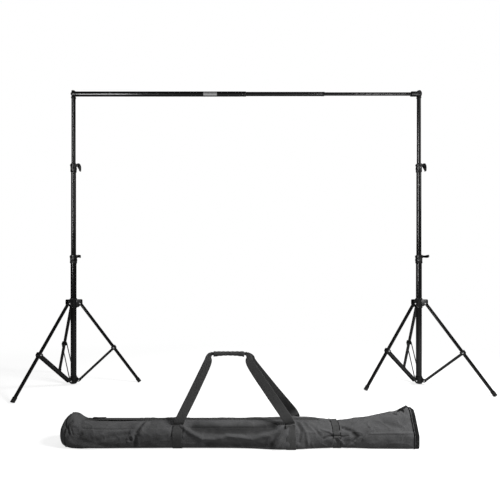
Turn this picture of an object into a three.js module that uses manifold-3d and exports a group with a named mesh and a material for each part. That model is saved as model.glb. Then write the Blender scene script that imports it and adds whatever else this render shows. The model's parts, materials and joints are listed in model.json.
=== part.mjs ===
// A background support: two folding light stands, a telescopic crossbar on top of them,
// and the soft bag that carries the set, lying on the floor in front.
// Millimetres, +Z up, floor at zero. The crossbar runs along X and the bag lies towards -Y.

import * as THREE from 'three';
import { mergeVertices } from 'three/addons/utils/BufferGeometryUtils.js';
import Module from 'manifold-3d';

const wasm = await Module();
wasm.setup();

// Fits and fineness
const fitGap = 0.3;
const slideGap = 1;
const cutOverrun = 5;
const tubeSides = 20;
const legSides = 12;
const pinSides = 8;
const arcSteps = 4;

// The whole set
const standSpacing = 2210;
const barHeight = 1858;
const leftStandTurn = -112;
const rightStandTurn = -160;
const leftKnobTurn = 180;
const rightKnobTurn = -60;

// Column tubes, the lower one first; each one slides in the bore of the one below
const lowerTubeRadius = 17.5;
const tubeWall = 1.5;
const lowerTubeBottom = 14;
const lowerTubeTop = 800;
const middleTubeTop = 1384;
const middleTubeInsertion = 175;
const upperTubeInsertion = 252.6;

// Clamp castings on the tops of the lower and middle tubes
const lockHeight = 54;
const lockSocketDepth = 26;
const lockShellWall = 4.7;
const lockMouthWall = 2.6;
const lockBossReach = 7;
const lockBossRadius = 9;
const lockAxisDrop = 10;
const lockProfileShares = [0.18, 0.6, 0.88];

// Clamp levers, each with its own screw
const leverScrewRadius = 4;
const leverHubRadius = 7.5;
const leverHubLength = 8;
const leverReach = 25;
const leverDrop = 40;
const leverThickness = 12;

// Sliding leg collar
const collarPivotHeight = 518;
const collarBelowPivot = 28;
const collarAbovePivot = 33;
const collarSlideGap = 0.5;
const collarWall = 3.5;
const collarPivotReach = 20.5;
const earThickness = 3.5;
const earRound = 9.5;
const earRise = 27;
const earPlateThickness = 4;
const pinRadius = 3;
const pinHeadRadius = 5;
const pinHeadThickness = 1.8;

// Collar screw and its lobed knob
const knobRadius = 13;
const knobLobeDepth = 2.4;
const knobThickness = 12;
const knobScrewRadius = 4;
const knobBossRadius = 8;
const knobBossReach = 8;
const knobDrop = 14;
const knobLobes = 3;
const knobSteps = 18;

// Legs, their end boots and the brackets that the braces reach
const footRadius = 412;
const footAxisHeight = 3;
const legRadius = 9.5;
const legWall = 1.3;
const legAbovePivot = 10;
const legEarGap = 0.5;
const bootWall = 2;
const bootLength = 30;
const bootFloor = 5;
const braceAttachment = 355;
const bracketLength = 26;
const bracketWall = 3.2;
const bracketCheek = 3.9;

// Hub at the foot of the column, and the flat strap braces
const hubWall = 3.5;
const hubBottom = 6;
const hubTop = 54;
const hubRound = 5;
const hubPivotHeight = 28;
const hubPivotReach = 14;
const lugRound = 9;
const strapThickness = 2.5;
const strapRadius = 7.5;

// Stud on top of each column and the cap nut over it
const studRadius = 8;
const studPlugLength = 40;
const studPlugGap = 0.4;
const studFlangeRadius = 15;
const studFlangeThickness = 5;
const studNeckRadius = 12;
const capRadius = 13;
const capThickness = 6;
const capSocketDepth = 3;
const capEdge = 2;

// Crossbar: the main tube starts at the left stand and the inner tube ends at the right one
const barRadius = 15;
const eyeLip = 1;
const leftEyeWall = 2;
const barSpigotLength = 42;
const barMainEnd = 1073;
const barMiddleStart = 600;
const barMiddleEnd = 1585;
const barInnerStart = 1170;
const bushLength = 30;
const smallBushLength = 20;
const smallBushWall = 3;
const bushEdge = 1.5;
const rightSleeveLength = 32;
const rightSleeveWall = 5.5;
const rightEyeWall = 3.5;

// Carry bag: a long soft case with a taller right-hand end
const bagAxisY = -885;
const bagLeft = -738;
const bagRight = 669;
const bagHalfWidth = 66;
const bagHeight = 95;
const bagEndHeight = 142;
const bagLeftEndHeight = 116;
const bagWaistHeight = 86;
const sliderPlaceShare = 0.084;
const sliderLength = 26;
const sliderWidth = 11;
const sliderHeight = 7;
const tabLength = 30;
const tabThickness = 2.5;

// Carry handles: two webbing loops joined by a wrapped grip
const webbingWidth = 38;
const webbingThickness = 2.5;
const handleLeftBase = -267;
const handleRightBase = 173;
const rearHandleLead = 30;
const handleTopHeight = 358;
const handleShoulderRun = 28;
const handleShoulderDrop = 45;
const webbingAtGrip = 12;
const nearBaseShare = 0.1;
const pastShoulderShare = 0.25;
const shoulderWidthShare = 0.9;
const gatherWidthShare = 0.6;
const climbDropShare = 0.3;
const rearShoulderShare = 0.4;
const gripLeft = -132;
const gripRight = -8;
const gripWall = 3;

// Sizes that follow from those above
const middleTubeRadius = lowerTubeRadius - tubeWall - slideGap;
const upperTubeRadius = middleTubeRadius - tubeWall - slideGap;
const barMiddleRadius = barRadius - tubeWall - slideGap;
const barInnerRadius = barMiddleRadius - tubeWall - slideGap;
const collarOuterRadius = lowerTubeRadius + collarSlideGap + collarWall;
const collarPivotRadius = collarOuterRadius + collarPivotReach;
const hubRadius = lowerTubeRadius + hubWall;
const hubPivotRadius = hubRadius + hubPivotReach;
const eyeHalfHeight = barRadius + eyeLip;
const leftEyeRadius = barRadius + leftEyeWall;
const rightEyeRadius = barRadius + rightEyeWall;
const bracketWidth = 2 * (legRadius + fitGap + bracketCheek);
const strapSpacing = bracketWidth + 2 * fitGap;
const handleLeftShoulder = gripLeft - handleShoulderRun;
const handleRightShoulder = gripRight + handleShoulderRun;
const eyeBottom = barHeight - eyeHalfHeight;
const eyeTop = barHeight + eyeHalfHeight;
const upperTubeTop = eyeBottom - fitGap - studFlangeThickness - fitGap - studFlangeThickness;
const middleTubeLength = middleTubeTop - lowerTubeTop + middleTubeInsertion;
const upperTubeLength = upperTubeTop - middleTubeTop + upperTubeInsertion;

// Opened legs: the angle from upright, and the braces that meet them
const legDrop = collarPivotHeight - footAxisHeight;
const legSpread = footRadius - collarPivotRadius;
const legAngle = Math.atan2(legSpread, legDrop);
const legLength = Math.hypot(legSpread, legDrop);
const braceSpanX = collarPivotRadius + braceAttachment * Math.sin(legAngle) - hubPivotRadius;
const braceSpanZ = collarPivotHeight - braceAttachment * Math.cos(legAngle) - hubPivotHeight;
const braceLength = Math.hypot(braceSpanX, braceSpanZ);
const braceAngle = Math.atan2(braceSpanX, braceSpanZ);

const { lerp, degToRad } = THREE.MathUtils;
const legLetters = ['a', 'b', 'c'];
const legTurn = (index) => index * 2 * Math.PI / legLetters.length;

// Finishes
const finish = (color, roughness, metalness) => ({ color, roughness, metalness });
const blackTube = finish(0x151515, 0.32, 0.6);
const blackCasting = finish(0x1b1b1b, 0.5, 0.2);
const blackPlastic = finish(0x0e0e0e, 0.45, 0);
const blackRubber = finish(0x101010, 0.85, 0);
const darkSteel = finish(0x2a2a2a, 0.4, 0.8);
const bagCloth = finish(0x47484a, 0.9, 0);
const bagWebbing = finish(0x3a3b3d, 0.85, 0);
const zipMetal = finish(0x6a6a6a, 0.4, 0.9);

// A position-only copy with shared corners, no collapsed triangles and its faces outwards
function welded(geometry) {
  const copy = geometry.clone();
  copy.deleteAttribute('normal');
  copy.deleteAttribute('uv');
  const merged = mergeVertices(copy);
  const place = merged.getAttribute('position');
  const corners = [];
  const [a, b, c] = [new THREE.Vector3(), new THREE.Vector3(), new THREE.Vector3()];
  let volume = 0;
  for (let k = 0; k < merged.index.count; k += 3) {
    const [i, j, l] = [0, 1, 2].map((step) => merged.index.getX(k + step));
    if (i === j || j === l || l === i) continue;
    corners.push(i, j, l);
    a.fromBufferAttribute(place, i);
    b.fromBufferAttribute(place, j);
    c.fromBufferAttribute(place, l);
    volume += a.dot(b.cross(c));
  }
  merged.setIndex(volume < 0 ? corners.reverse() : corners);
  return merged;
}

function asSolid(geometry) {
  const closed = welded(geometry);
  return new wasm.Manifold(new wasm.Mesh({
    numProp: 3,
    vertProperties: new Float32Array(closed.getAttribute('position').array),
    triVerts: new Uint32Array(closed.index.array),
  }));
}

function asGeometry(solid) {
  const { vertProperties, triVerts } = solid.getMesh();
  const geometry = new THREE.BufferGeometry();
  geometry.setAttribute('position', new THREE.BufferAttribute(new Float32Array(vertProperties), 3));
  geometry.setIndex(new THREE.BufferAttribute(new Uint32Array(triVerts), 1));
  return geometry;
}

function joined(first, ...others) {
  return asGeometry(others.reduce((sum, next) => sum.add(asSolid(next)), asSolid(first)));
}

function cut(body, ...tools) {
  return asGeometry(tools.reduce((rest, tool) => rest.subtract(asSolid(tool)), asSolid(body)));
}

// A piece turned about Z; the outline is listed once round as radius and height
function turned(outline, sides = tubeSides) {
  const points = [...outline, outline[0]].map(([radius, height]) => new THREE.Vector2(radius, height));
  return new THREE.LatheGeometry(points, sides).rotateX(Math.PI / 2);
}

function tube(outerRadius, innerRadius, low, high, sides = tubeSides) {
  return turned([[innerRadius, low], [outerRadius, low], [outerRadius, high], [innerRadius, high]], sides);
}

function rod(radius, low, high, sides = tubeSides) {
  return turned([[0, low], [radius, low], [radius, high], [0, high]], sides);
}

const alongX = (geometry) => geometry.rotateY(Math.PI / 2);
const alongY = (geometry) => geometry.rotateX(-Math.PI / 2);

// A flat plate in the XZ plane, centred on Y
function plate(shape, thickness) {
  const settings = { depth: thickness, bevelEnabled: false, curveSegments: arcSteps };
  return new THREE.ExtrudeGeometry(shape, settings).rotateX(Math.PI / 2).translate(0, thickness / 2, 0);
}

function block(lowX, highX, width, lowZ, highZ) {
  const box = new THREE.BoxGeometry(highX - lowX, width, highZ - lowZ);
  return box.translate((lowX + highX) / 2, 0, (lowZ + highZ) / 2);
}

// A closed skin through rings of equal point count, with a flat cap at each end
function lofted(rings) {
  const count = rings[0].length;
  const middle = (ring) => ring.reduce((sum, p) => sum.add(p), new THREE.Vector3()).divideScalar(count);
  const points = [...rings.flat(), middle(rings[0]), middle(rings[rings.length - 1])];
  const faces = [];
  for (let row = 0; row + 1 < rings.length; row += 1) {
    for (let k = 0; k < count; k += 1) {
      const next = (k + 1) % count;
      const [a, b] = [row * count + k, row * count + next];
      faces.push(a, b, b + count, a, b + count, a + count);
    }
  }
  const lastRing = (rings.length - 1) * count;
  const firstCentre = rings.length * count;
  for (let k = 0; k < count; k += 1) {
    const next = (k + 1) % count;
    faces.push(next, k, firstCentre);
    faces.push(lastRing + k, lastRing + next, firstCentre + 1);
  }
  const geometry = new THREE.BufferGeometry().setFromPoints(points);
  geometry.setIndex(faces);
  return geometry;
}

function piece(name, geometry, look, parent) {
  const mesh = new THREE.Mesh(welded(geometry), new THREE.MeshStandardMaterial(look));
  mesh.name = name;
  parent.add(mesh);
  return mesh;
}

// Clamp casting: a socket over the fixed tube, a mouth for the sliding one and a screw boss
function lockCasting(fixedRadius, slidingRadius) {
  const shell = fixedRadius + lockShellWall;
  const mouth = slidingRadius + lockMouthWall;
  const socket = fixedRadius + fitGap;
  const bore = slidingRadius + fitGap;
  const step = lockSocketDepth + fitGap;
  const axis = lockHeight - lockAxisDrop;
  const [swell, waist, neck] = lockProfileShares.map((share) => share * lockHeight);
  const body = turned([
    [socket, 0], [fixedRadius + lockMouthWall, 0], [shell, swell], [shell, waist],
    [mouth + lockMouthWall, neck], [mouth, lockHeight], [bore, lockHeight],
    [bore, step], [socket, step],
  ]);
  const bossEnd = fixedRadius + lockBossReach;
  const boss = alongX(rod(lockBossRadius, slidingRadius + lockMouthWall, bossEnd, pinSides));
  const through = alongX(rod(leverScrewRadius + fitGap, 0, shell + lockBossReach, pinSides));
  const clear = rod(bore, step - fitGap, lockHeight + cutOverrun);
  return cut(joined(body, boss.translate(0, 0, axis)), through.translate(0, 0, axis), clear);
}

// Shape of the lever's hooked arm, as shares of its reach and drop
const leverOuterShares = [
  [0, 0.2], [0.3, 0.3], [0.62, 0.29], [0.86, 0.1], [0.98, -0.22], [1, -0.6], [0.93, -0.96],
];
const leverInnerShares = [
  [0.8, -1.03], [0.62, -0.95], [0.62, -0.6], [0.57, -0.3], [0.42, -0.12], [0.2, -0.1], [0, -0.2],
];

// Clamp lever on its screw, about the X axis, hanging down from the boss
function clampLever(fixedRadius, slidingRadius) {
  const start = fixedRadius + lockBossReach + fitGap;
  const outline = [...leverOuterShares, ...leverInnerShares]
    .map(([across, down]) => new THREE.Vector2(start + across * leverReach, down * leverDrop));
  const arm = plate(new THREE.Shape(outline), leverThickness);
  const tip = slidingRadius + fitGap + fitGap;
  const screw = alongX(rod(leverScrewRadius, tip, start + leverHubLength, pinSides));
  const hub = alongX(rod(leverHubRadius, start, start + leverHubLength, tubeSides));
  return joined(hub, screw, arm);
}

function pinAcross(halfSpan) {
  const shaft = alongY(rod(pinRadius, -halfSpan, halfSpan, pinSides));
  const heads = [-halfSpan - pinHeadThickness, halfSpan - fitGap]
    .map((low) => alongY(rod(pinHeadRadius, low, low + pinHeadThickness + fitGap, pinSides)));
  return joined(shaft, ...heads);
}

// Leg collar: a sleeve with three forked ears, each with its own pin, and a boss for the screw
function legCollar(knobTurn) {
  const bore = lowerTubeRadius + collarSlideGap;
  const low = collarPivotHeight - collarBelowPivot;
  const high = collarPivotHeight + collarAbovePivot;
  const root = collarOuterRadius - collarWall / 2;
  const earOffset = legRadius + legEarGap + earThickness / 2;
  const earShape = new THREE.Shape();
  earShape.moveTo(root, earRise);
  earShape.lineTo(root, -collarBelowPivot);
  earShape.lineTo(collarPivotRadius, -earRound);
  earShape.absarc(collarPivotRadius, 0, earRound, -Math.PI / 2, 0, false);
  earShape.lineTo(collarPivotRadius + earRound, earRise);
  const forks = legLetters.flatMap((letter, index) => {
    const ears = [-earOffset, earOffset].map((side) => plate(earShape, earThickness).translate(0, side, 0));
    const lidBottom = earRise - earPlateThickness;
    const lid = block(root, collarPivotRadius + earRound, 2 * earOffset, lidBottom, earRise);
    const pin = pinAcross(earOffset + earThickness / 2).translate(collarPivotRadius, 0, 0);
    return [...ears, lid, pin].map((item) => item.translate(0, 0, collarPivotHeight).rotateZ(legTurn(index)));
  });
  const bossAxis = collarPivotHeight - knobDrop;
  const bossEnd = collarOuterRadius + knobBossReach;
  const towardsKnob = (geometry) => geometry.translate(0, 0, bossAxis).rotateZ(knobTurn);
  const boss = towardsKnob(alongX(rod(knobBossRadius, root, bossEnd, pinSides)));
  const hole = towardsKnob(alongX(rod(knobScrewRadius + fitGap, 0, bossEnd + cutOverrun, pinSides)));
  const body = joined(tube(collarOuterRadius, bore, low, high), boss, ...forks);
  return cut(body, rod(bore, low - cutOverrun, high + cutOverrun), hole);
}

// Knob with rounded lobes on a screw that reaches the column
function collarKnob() {
  const start = collarOuterRadius + knobBossReach + fitGap;
  const rim = new THREE.Shape(Array.from({ length: knobSteps }, (_, step) => {
    const turn = step * 2 * Math.PI / knobSteps;
    const radius = knobRadius - knobLobeDepth * (1 - Math.cos(knobLobes * turn)) / 2;
    return new THREE.Vector2(radius * Math.cos(turn), radius * Math.sin(turn));
  }));
  const head = new THREE.ExtrudeGeometry(rim, { depth: knobThickness, bevelEnabled: false });
  const screw = rod(knobScrewRadius, lowerTubeRadius + fitGap + fitGap, start + knobThickness / 2, pinSides);
  return alongX(joined(head.translate(0, 0, start), screw));
}

// Hub: a cup under the column with three lugs for the braces
function columnHub() {
  const socket = lowerTubeRadius + fitGap;
  const floor = lowerTubeBottom - fitGap;
  const cup = turned([
    [0, hubBottom], [hubRadius - hubRound, hubBottom], [hubRadius, hubBottom + hubRound], [hubRadius, hubTop],
    [socket, hubTop], [socket, floor], [0, floor],
  ]);
  const lugShape = new THREE.Shape();
  lugShape.moveTo(hubRadius - hubWall / 2, lugRound);
  lugShape.lineTo(hubRadius - hubWall / 2, -lugRound);
  lugShape.lineTo(hubPivotRadius, -lugRound);
  lugShape.absarc(hubPivotRadius, 0, lugRound, -Math.PI / 2, Math.PI / 2, false);
  const lugs = legLetters.map((letter, index) => {
    const hole = alongY(rod(pinRadius + fitGap, -strapSpacing, strapSpacing, pinSides));
    const lug = cut(plate(lugShape, bracketWidth), hole.translate(hubPivotRadius, 0, 0));
    return lug.translate(0, 0, hubPivotHeight).rotateZ(legTurn(index));
  });
  return cut(joined(cup, ...lugs), rod(socket, floor, hubTop + cutOverrun));
}

// Leg tube hanging from its pivot, with the cross hole for the collar's pin
function legTube() {
  const stop = legLength - bootFloor - fitGap;
  const body = tube(legRadius, legRadius - legWall, -stop, legAbovePivot, legSides);
  const halfDrill = legRadius + cutOverrun;
  return cut(body, alongY(rod(pinRadius + fitGap, -halfDrill, halfDrill, pinSides)));
}

// Rubber boot over the leg's end, in the opened leg's place, cut level by the floor
function legBoot() {
  const outer = legRadius + fitGap + bootWall;
  const inner = legRadius + fitGap;
  const boot = turned([
    [0, -legLength], [outer, -legLength], [outer, bootLength - legLength],
    [inner, bootLength - legLength], [inner, bootFloor - legLength], [0, bootFloor - legLength],
  ], legSides);
  const opened = boot.rotateY(-legAngle).translate(collarPivotRadius, 0, collarPivotHeight);
  const ground = block(0, 2 * footRadius, footRadius, -legLength, 0);
  return cut(opened, ground);
}

// Bracket on the leg, between the two straps of the brace
function legBracket() {
  const across = legRadius + fitGap + bracketWall;
  const shape = new THREE.Shape();
  shape.moveTo(across, -bracketLength / 2 + across);
  shape.absarc(0, -bracketLength / 2 + across, across, 0, -Math.PI, true);
  shape.lineTo(-across, bracketLength / 2);
  shape.lineTo(across, bracketLength / 2);
  const body = plate(shape, bracketWidth);
  return cut(body, rod(legRadius + fitGap, -bracketLength, bracketLength, legSides));
}

// Brace: two flat straps side by side, held at the hub's end by one rivet
function strapBrace() {
  const shape = new THREE.Shape();
  shape.moveTo(strapRadius, 0);
  shape.lineTo(strapRadius, braceLength);
  shape.absarc(0, braceLength, strapRadius, 0, Math.PI, false);
  shape.lineTo(-strapRadius, 0);
  shape.absarc(0, 0, strapRadius, -Math.PI, 0, false);
  const offset = (strapSpacing + strapThickness) / 2;
  const straps = [-offset, offset].map((side) => plate(shape, strapThickness).translate(0, side, 0));
  return joined(pinAcross(strapSpacing / 2 + strapThickness), ...straps);
}

// Stud: a plug in the upper tube, a flange and the spigot that the bar's eye sits on
function columnStud() {
  const plug = upperTubeRadius - tubeWall - studPlugGap;
  const seat = upperTubeTop + fitGap;
  const shoulder = eyeBottom - fitGap;
  return turned([
    [0, upperTubeTop - studPlugLength], [plug, upperTubeTop - studPlugLength], [plug, seat],
    [studFlangeRadius, seat], [studFlangeRadius, seat + studFlangeThickness],
    [studNeckRadius, shoulder], [studRadius, shoulder], [studRadius, eyeTop + capSocketDepth - fitGap],
    [0, eyeTop + capSocketDepth - fitGap],
  ]);
}

function capNut() {
  const low = eyeTop + fitGap;
  const high = eyeTop + capThickness;
  const bore = studRadius + fitGap;
  return turned([
    [bore, low], [capRadius, low], [capRadius, high - capEdge], [capRadius - capEdge, high], [0, high],
    [0, eyeTop + capSocketDepth], [bore, eyeTop + capSocketDepth],
  ]);
}

// A folding stand about its own column; each leg's group points along its leg
function lightStand(side, baseTurn, knobTurn) {
  const stand = new THREE.Group();
  const column = new THREE.Group();
  stand.add(column);
  const middleBottom = middleTubeTop - middleTubeLength;
  const upperBottom = upperTubeTop - upperTubeLength;
  const bore = (radius) => radius - tubeWall;
  const lowerTube = tube(lowerTubeRadius, bore(lowerTubeRadius), lowerTubeBottom, lowerTubeTop);
  piece(`${side}_lower_tube`, lowerTube, blackTube, column);
  const middleTube = tube(middleTubeRadius, bore(middleTubeRadius), middleBottom, middleTubeTop);
  piece(`${side}_middle_tube`, middleTube, blackTube, column);
  const upperTube = tube(upperTubeRadius, bore(upperTubeRadius), upperBottom, upperTubeTop);
  piece(`${side}_upper_tube`, upperTube, blackTube, column);
  piece(`${side}_top_stud`, columnStud(), darkSteel, column);
  piece(`${side}_cap_nut`, capNut(), blackPlastic, column);

  const locks = [
    ['lower', lowerTubeTop, lowerTubeRadius, middleTubeRadius, -Math.PI / 2],
    ['upper', middleTubeTop, middleTubeRadius, upperTubeRadius, 0],
  ];
  for (const [level, tubeTop, fixed, sliding, leverTurn] of locks) {
    const low = tubeTop - lockSocketDepth;
    const casting = piece(`${side}_${level}_lock`, lockCasting(fixed, sliding), blackCasting, column);
    casting.position.z = low;
    const lever = piece(`${side}_${level}_lever`, clampLever(fixed, sliding), blackPlastic, column);
    lever.position.z = low + lockHeight - lockAxisDrop;
    lever.rotation.x = leverTurn;
  }

  const base = new THREE.Group();
  base.rotation.z = baseTurn;
  stand.add(base);
  piece(`${side}_hub`, columnHub(), blackCasting, base);
  piece(`${side}_leg_collar`, legCollar(knobTurn), blackCasting, base);
  const knob = piece(`${side}_collar_knob`, collarKnob(), blackPlastic, base);
  knob.rotation.z = knobTurn;
  knob.position.z = collarPivotHeight - knobDrop;
  legLetters.forEach((letter, index) => {
    const limb = new THREE.Group();
    limb.rotation.z = legTurn(index);
    base.add(limb);
    const leg = piece(`${side}_leg_${letter}`, legTube(), blackTube, limb);
    leg.position.set(collarPivotRadius, 0, collarPivotHeight);
    leg.rotation.y = -legAngle;
    piece(`${side}_foot_${letter}`, legBoot(), blackRubber, limb);
    const bracket = piece(`${side}_leg_bracket_${letter}`, legBracket(), blackPlastic, limb);
    bracket.position.set(
      collarPivotRadius + braceAttachment * Math.sin(legAngle), 0,
      collarPivotHeight - braceAttachment * Math.cos(legAngle),
    );
    bracket.rotation.y = -legAngle;
    const brace = piece(`${side}_brace_${letter}`, strapBrace(), darkSteel, limb);
    brace.position.set(hubPivotRadius, 0, hubPivotHeight);
    brace.rotation.y = braceAngle;
  });
  return stand;
}

// Bar end at the left stand: an upright eye with a spigot in the main tube
function leftFitting() {
  const eye = rod(leftEyeRadius, -eyeHalfHeight, eyeHalfHeight);
  const neck = alongX(rod(barRadius, 0, leftEyeRadius));
  const spigot = alongX(rod(barRadius - tubeWall - fitGap, 0, leftEyeRadius + barSpigotLength));
  const hole = rod(studRadius + fitGap, -eyeHalfHeight - cutOverrun, eyeHalfHeight + cutOverrun);
  return cut(joined(eye, neck, spigot), hole);
}

// Bar end at the right stand: an upright eye with a sleeve over the inner tube
function rightFitting() {
  const sleeveEnd = rightEyeRadius + rightSleeveLength;
  const eye = rod(rightEyeRadius, -eyeHalfHeight, eyeHalfHeight);
  const sleeve = alongX(rod(barInnerRadius + rightSleeveWall, -sleeveEnd, 0));
  const socket = alongX(rod(barInnerRadius + fitGap, -sleeveEnd - cutOverrun, -rightEyeRadius));
  const hole = rod(studRadius + fitGap, -eyeHalfHeight - cutOverrun, eyeHalfHeight + cutOverrun);
  return cut(joined(eye, sleeve), socket, hole);
}

// A ring at a bar joint, with its edges broken, round the tube that slides in it
function bush(outerRadius, slidingRadius, length) {
  const bore = slidingRadius + fitGap;
  return alongX(turned([
    [bore, 0], [outerRadius - bushEdge, 0], [outerRadius, bushEdge], [outerRadius, length - bushEdge],
    [outerRadius - bushEdge, length], [bore, length],
  ]));
}

// Crossbar from the left column's axis
function crossbar() {
  const bar = new THREE.Group();
  const section = (radius, low, high) => alongX(tube(radius, radius - tubeWall, low, high));
  const mainStart = leftEyeRadius + fitGap;
  const bushStart = barMainEnd + fitGap;
  const smallBushStart = barMiddleEnd + fitGap;
  const innerEnd = standSpacing - rightEyeRadius - fitGap;
  piece('bar_left_fitting', leftFitting(), blackCasting, bar);
  piece('bar_main_tube', section(barRadius, mainStart, barMainEnd), blackTube, bar);
  const bigBush = piece('bar_main_bush', bush(barRadius, barMiddleRadius, bushLength), blackPlastic, bar);
  bigBush.position.x = bushStart;
  piece('bar_middle_tube', section(barMiddleRadius, barMiddleStart, barMiddleEnd), blackTube, bar);
  const smallBushGeometry = bush(barInnerRadius + smallBushWall, barInnerRadius, smallBushLength);
  const smallBush = piece('bar_middle_bush', smallBushGeometry, blackPlastic, bar);
  smallBush.position.x = smallBushStart;
  piece('bar_inner_tube', section(barInnerRadius, barInnerStart, innerEnd), blackTube, bar);
  const fitting = piece('bar_right_fitting', rightFitting(), blackCasting, bar);
  fitting.position.x = standSpacing;
  return bar;
}

// Bag outline: half of one cross-section from the base's middle to the crest, as shares of
// its half width and height, and the places along the bag with their own width and height
const bagSectionShares = [
  [0.82, 0], [0.96, 0.1], [1, 0.32], [0.96, 0.58], [0.8, 0.8], [0.55, 0.93], [0.2, 1],
];
const bagLengthShares = [0, 0.008, 0.022, 0.046, 0.075, 0.729, 0.775, 0.842, 0.893, 0.944, 0.972, 0.988, 1];
const bagWidthShares = [0.3, 0.62, 0.85, 0.97, 1, 1, 0.94, 1, 1.02, 1.06, 1.06, 1, 0.86];
const bagHeightShares = [0.35, 0.75, 0.94, 1, 1, 1, 1, 1, 1.14, 0.9, 1, 0.94, 0.8];
const bagHeightAt = [
  bagHeight, bagHeight, bagLeftEndHeight, bagLeftEndHeight, bagHeight, bagHeight, bagWaistHeight,
  bagHeight, bagHeight, bagEndHeight, bagEndHeight, bagEndHeight, bagEndHeight,
];

function bagRing(place, halfWidth, height) {
  const mirrored = [...bagSectionShares].reverse().map(([across, up]) => [-across, up]);
  return [...bagSectionShares, ...mirrored]
    .map(([across, up]) => new THREE.Vector3(place, across * halfWidth, up * height));
}

function bagBody() {
  const rings = bagLengthShares.map((share, index) => {
    const height = bagHeightShares[index] * bagHeightAt[index];
    return bagRing(lerp(bagLeft, bagRight, share), bagWidthShares[index] * bagHalfWidth, height);
  });
  return lofted(rings);
}

// Webbing of a handle: a strip through stations, each a point and the way its face looks
function webbing(stations) {
  const rings = stations.map(({ point, face, width }, index) => {
    const before = stations[Math.max(index - 1, 0)].point;
    const after = stations[Math.min(index + 1, stations.length - 1)].point;
    const along = after.clone().sub(before).normalize();
    const side = face.clone().cross(along).normalize().multiplyScalar(width / 2);
    const lift = side.clone().cross(along).normalize().multiplyScalar(webbingThickness / 2);
    return [[1, 1], [1, -1], [-1, -1], [-1, 1]].map(([across, up]) => (
      point.clone().addScaledVector(side, across).addScaledVector(lift, up)
    ));
  });
  return lofted(rings);
}

// One loop of webbing: up the bag's flank, over to the grip and down again; side is -1 in front.
// The rear loop comes down a little further to the right than the front one.
function handleLoop(side) {
  const lift = fitGap + webbingThickness / 2;
  const faceOut = new THREE.Vector3(0, side, 0);
  const gripY = side * (webbingThickness + fitGap) / 2;
  const flank = bagSectionShares.slice(1, -1).map(([across, up], index, all) => {
    const [fromAcross, fromUp] = all[Math.max(index - 1, 0)];
    const [toAcross, toUp] = all[Math.min(index + 1, all.length - 1)];
    const runY = (toAcross - fromAcross) * bagHalfWidth;
    const runZ = (toUp - fromUp) * bagHeight;
    const face = new THREE.Vector3(0, side * runZ, -runY).normalize();
    const onBag = new THREE.Vector3(0, side * across * bagHalfWidth, up * bagHeight);
    return { place: onBag.addScaledVector(face, lift), face };
  });
  const leave = flank[flank.length - 1].place;
  const at = (x, y, z, width) => ({ point: new THREE.Vector3(x, y, z), face: faceOut, width });
  const shoulderHeight = handleTopHeight - handleShoulderDrop;
  const shoulderY = lerp(leave.y, gripY, (shoulderHeight - leave.z) / (handleTopHeight - leave.z));
  const climb = (base, shoulder, grip) => [
    ...flank.map(({ place, face }) => ({
      point: new THREE.Vector3(base, place.y, place.z), face, width: webbingWidth,
    })),
    at(
      lerp(base, shoulder, nearBaseShare), leave.y,
      lerp(leave.z, shoulderHeight, nearBaseShare), webbingWidth,
    ),
    at(shoulder, shoulderY, shoulderHeight, webbingWidth * shoulderWidthShare),
    at(
      lerp(shoulder, grip, pastShoulderShare), gripY,
      handleTopHeight - handleShoulderDrop * climbDropShare, webbingWidth * gatherWidthShare,
    ),
    at(grip + Math.sign(shoulder - grip) * webbingAtGrip, gripY, handleTopHeight, webbingAtGrip),
    at(grip, gripY, handleTopHeight, webbingAtGrip),
  ];
  const lead = side > 0 ? rearHandleLead : 0;
  const left = climb(handleLeftBase, handleLeftShoulder, gripLeft);
  const right = climb(handleRightBase + lead, handleRightShoulder + lead * rearShoulderShare, gripRight);
  return webbing([...left, ...right.reverse()]);
}

// Wrapped grip: a soft sleeve round both loops at the top
function handleGrip() {
  const innerY = webbingThickness * 2 + fitGap * 3;
  const innerZ = webbingAtGrip + 2 * fitGap;
  const outerHalf = innerZ / 2 + gripWall;
  const sleeve = block(gripLeft, gripRight, innerY + 2 * gripWall, -outerHalf, outerHalf);
  const bore = block(gripLeft - cutOverrun, gripRight + cutOverrun, innerY, -innerZ / 2, innerZ / 2);
  return cut(sleeve, bore).translate(0, 0, handleTopHeight);
}

function zipSlider() {
  const low = bagHeight + fitGap;
  const start = lerp(bagLeft, bagRight, sliderPlaceShare);
  const body = block(start, start + sliderLength, sliderWidth, low, low + sliderHeight);
  const tab = block(
    start + sliderLength / 2, start + sliderLength + tabLength, sliderWidth / 2,
    low + sliderHeight / 2, low + sliderHeight / 2 + tabThickness,
  );
  return joined(body, tab);
}

function carryBag() {
  const bag = new THREE.Group();
  piece('bag_body', bagBody(), bagCloth, bag);
  piece('bag_handle_front', handleLoop(-1), bagWebbing, bag);
  piece('bag_handle_rear', handleLoop(1), bagWebbing, bag);
  piece('bag_handle_grip', handleGrip(), bagWebbing, bag);
  piece('bag_zip_slider', zipSlider(), zipMetal, bag);
  return bag;
}

// The stands are turned their own ways on the floor
const leftStand = lightStand('left', degToRad(leftStandTurn), degToRad(leftKnobTurn));
const rightStand = lightStand('right', degToRad(rightStandTurn), degToRad(rightKnobTurn));
const bar = crossbar();
const bag = carryBag();
leftStand.position.x = -standSpacing / 2;
rightStand.position.x = standSpacing / 2;
bar.position.set(-standSpacing / 2, 0, barHeight);
bag.position.y = bagAxisY;

const assembly = new THREE.Group();
assembly.add(leftStand, rightStand, bar, bag);

// The origin lies on the floor under the middle of the whole set
const support = new THREE.Group();
support.add(assembly);
assembly.updateMatrixWorld(true);
const extent = new THREE.Box3().setFromObject(assembly, true);
const middle = extent.getCenter(new THREE.Vector3());
assembly.position.set(-middle.x, -middle.y, -extent.min.z);

export default support;
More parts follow.
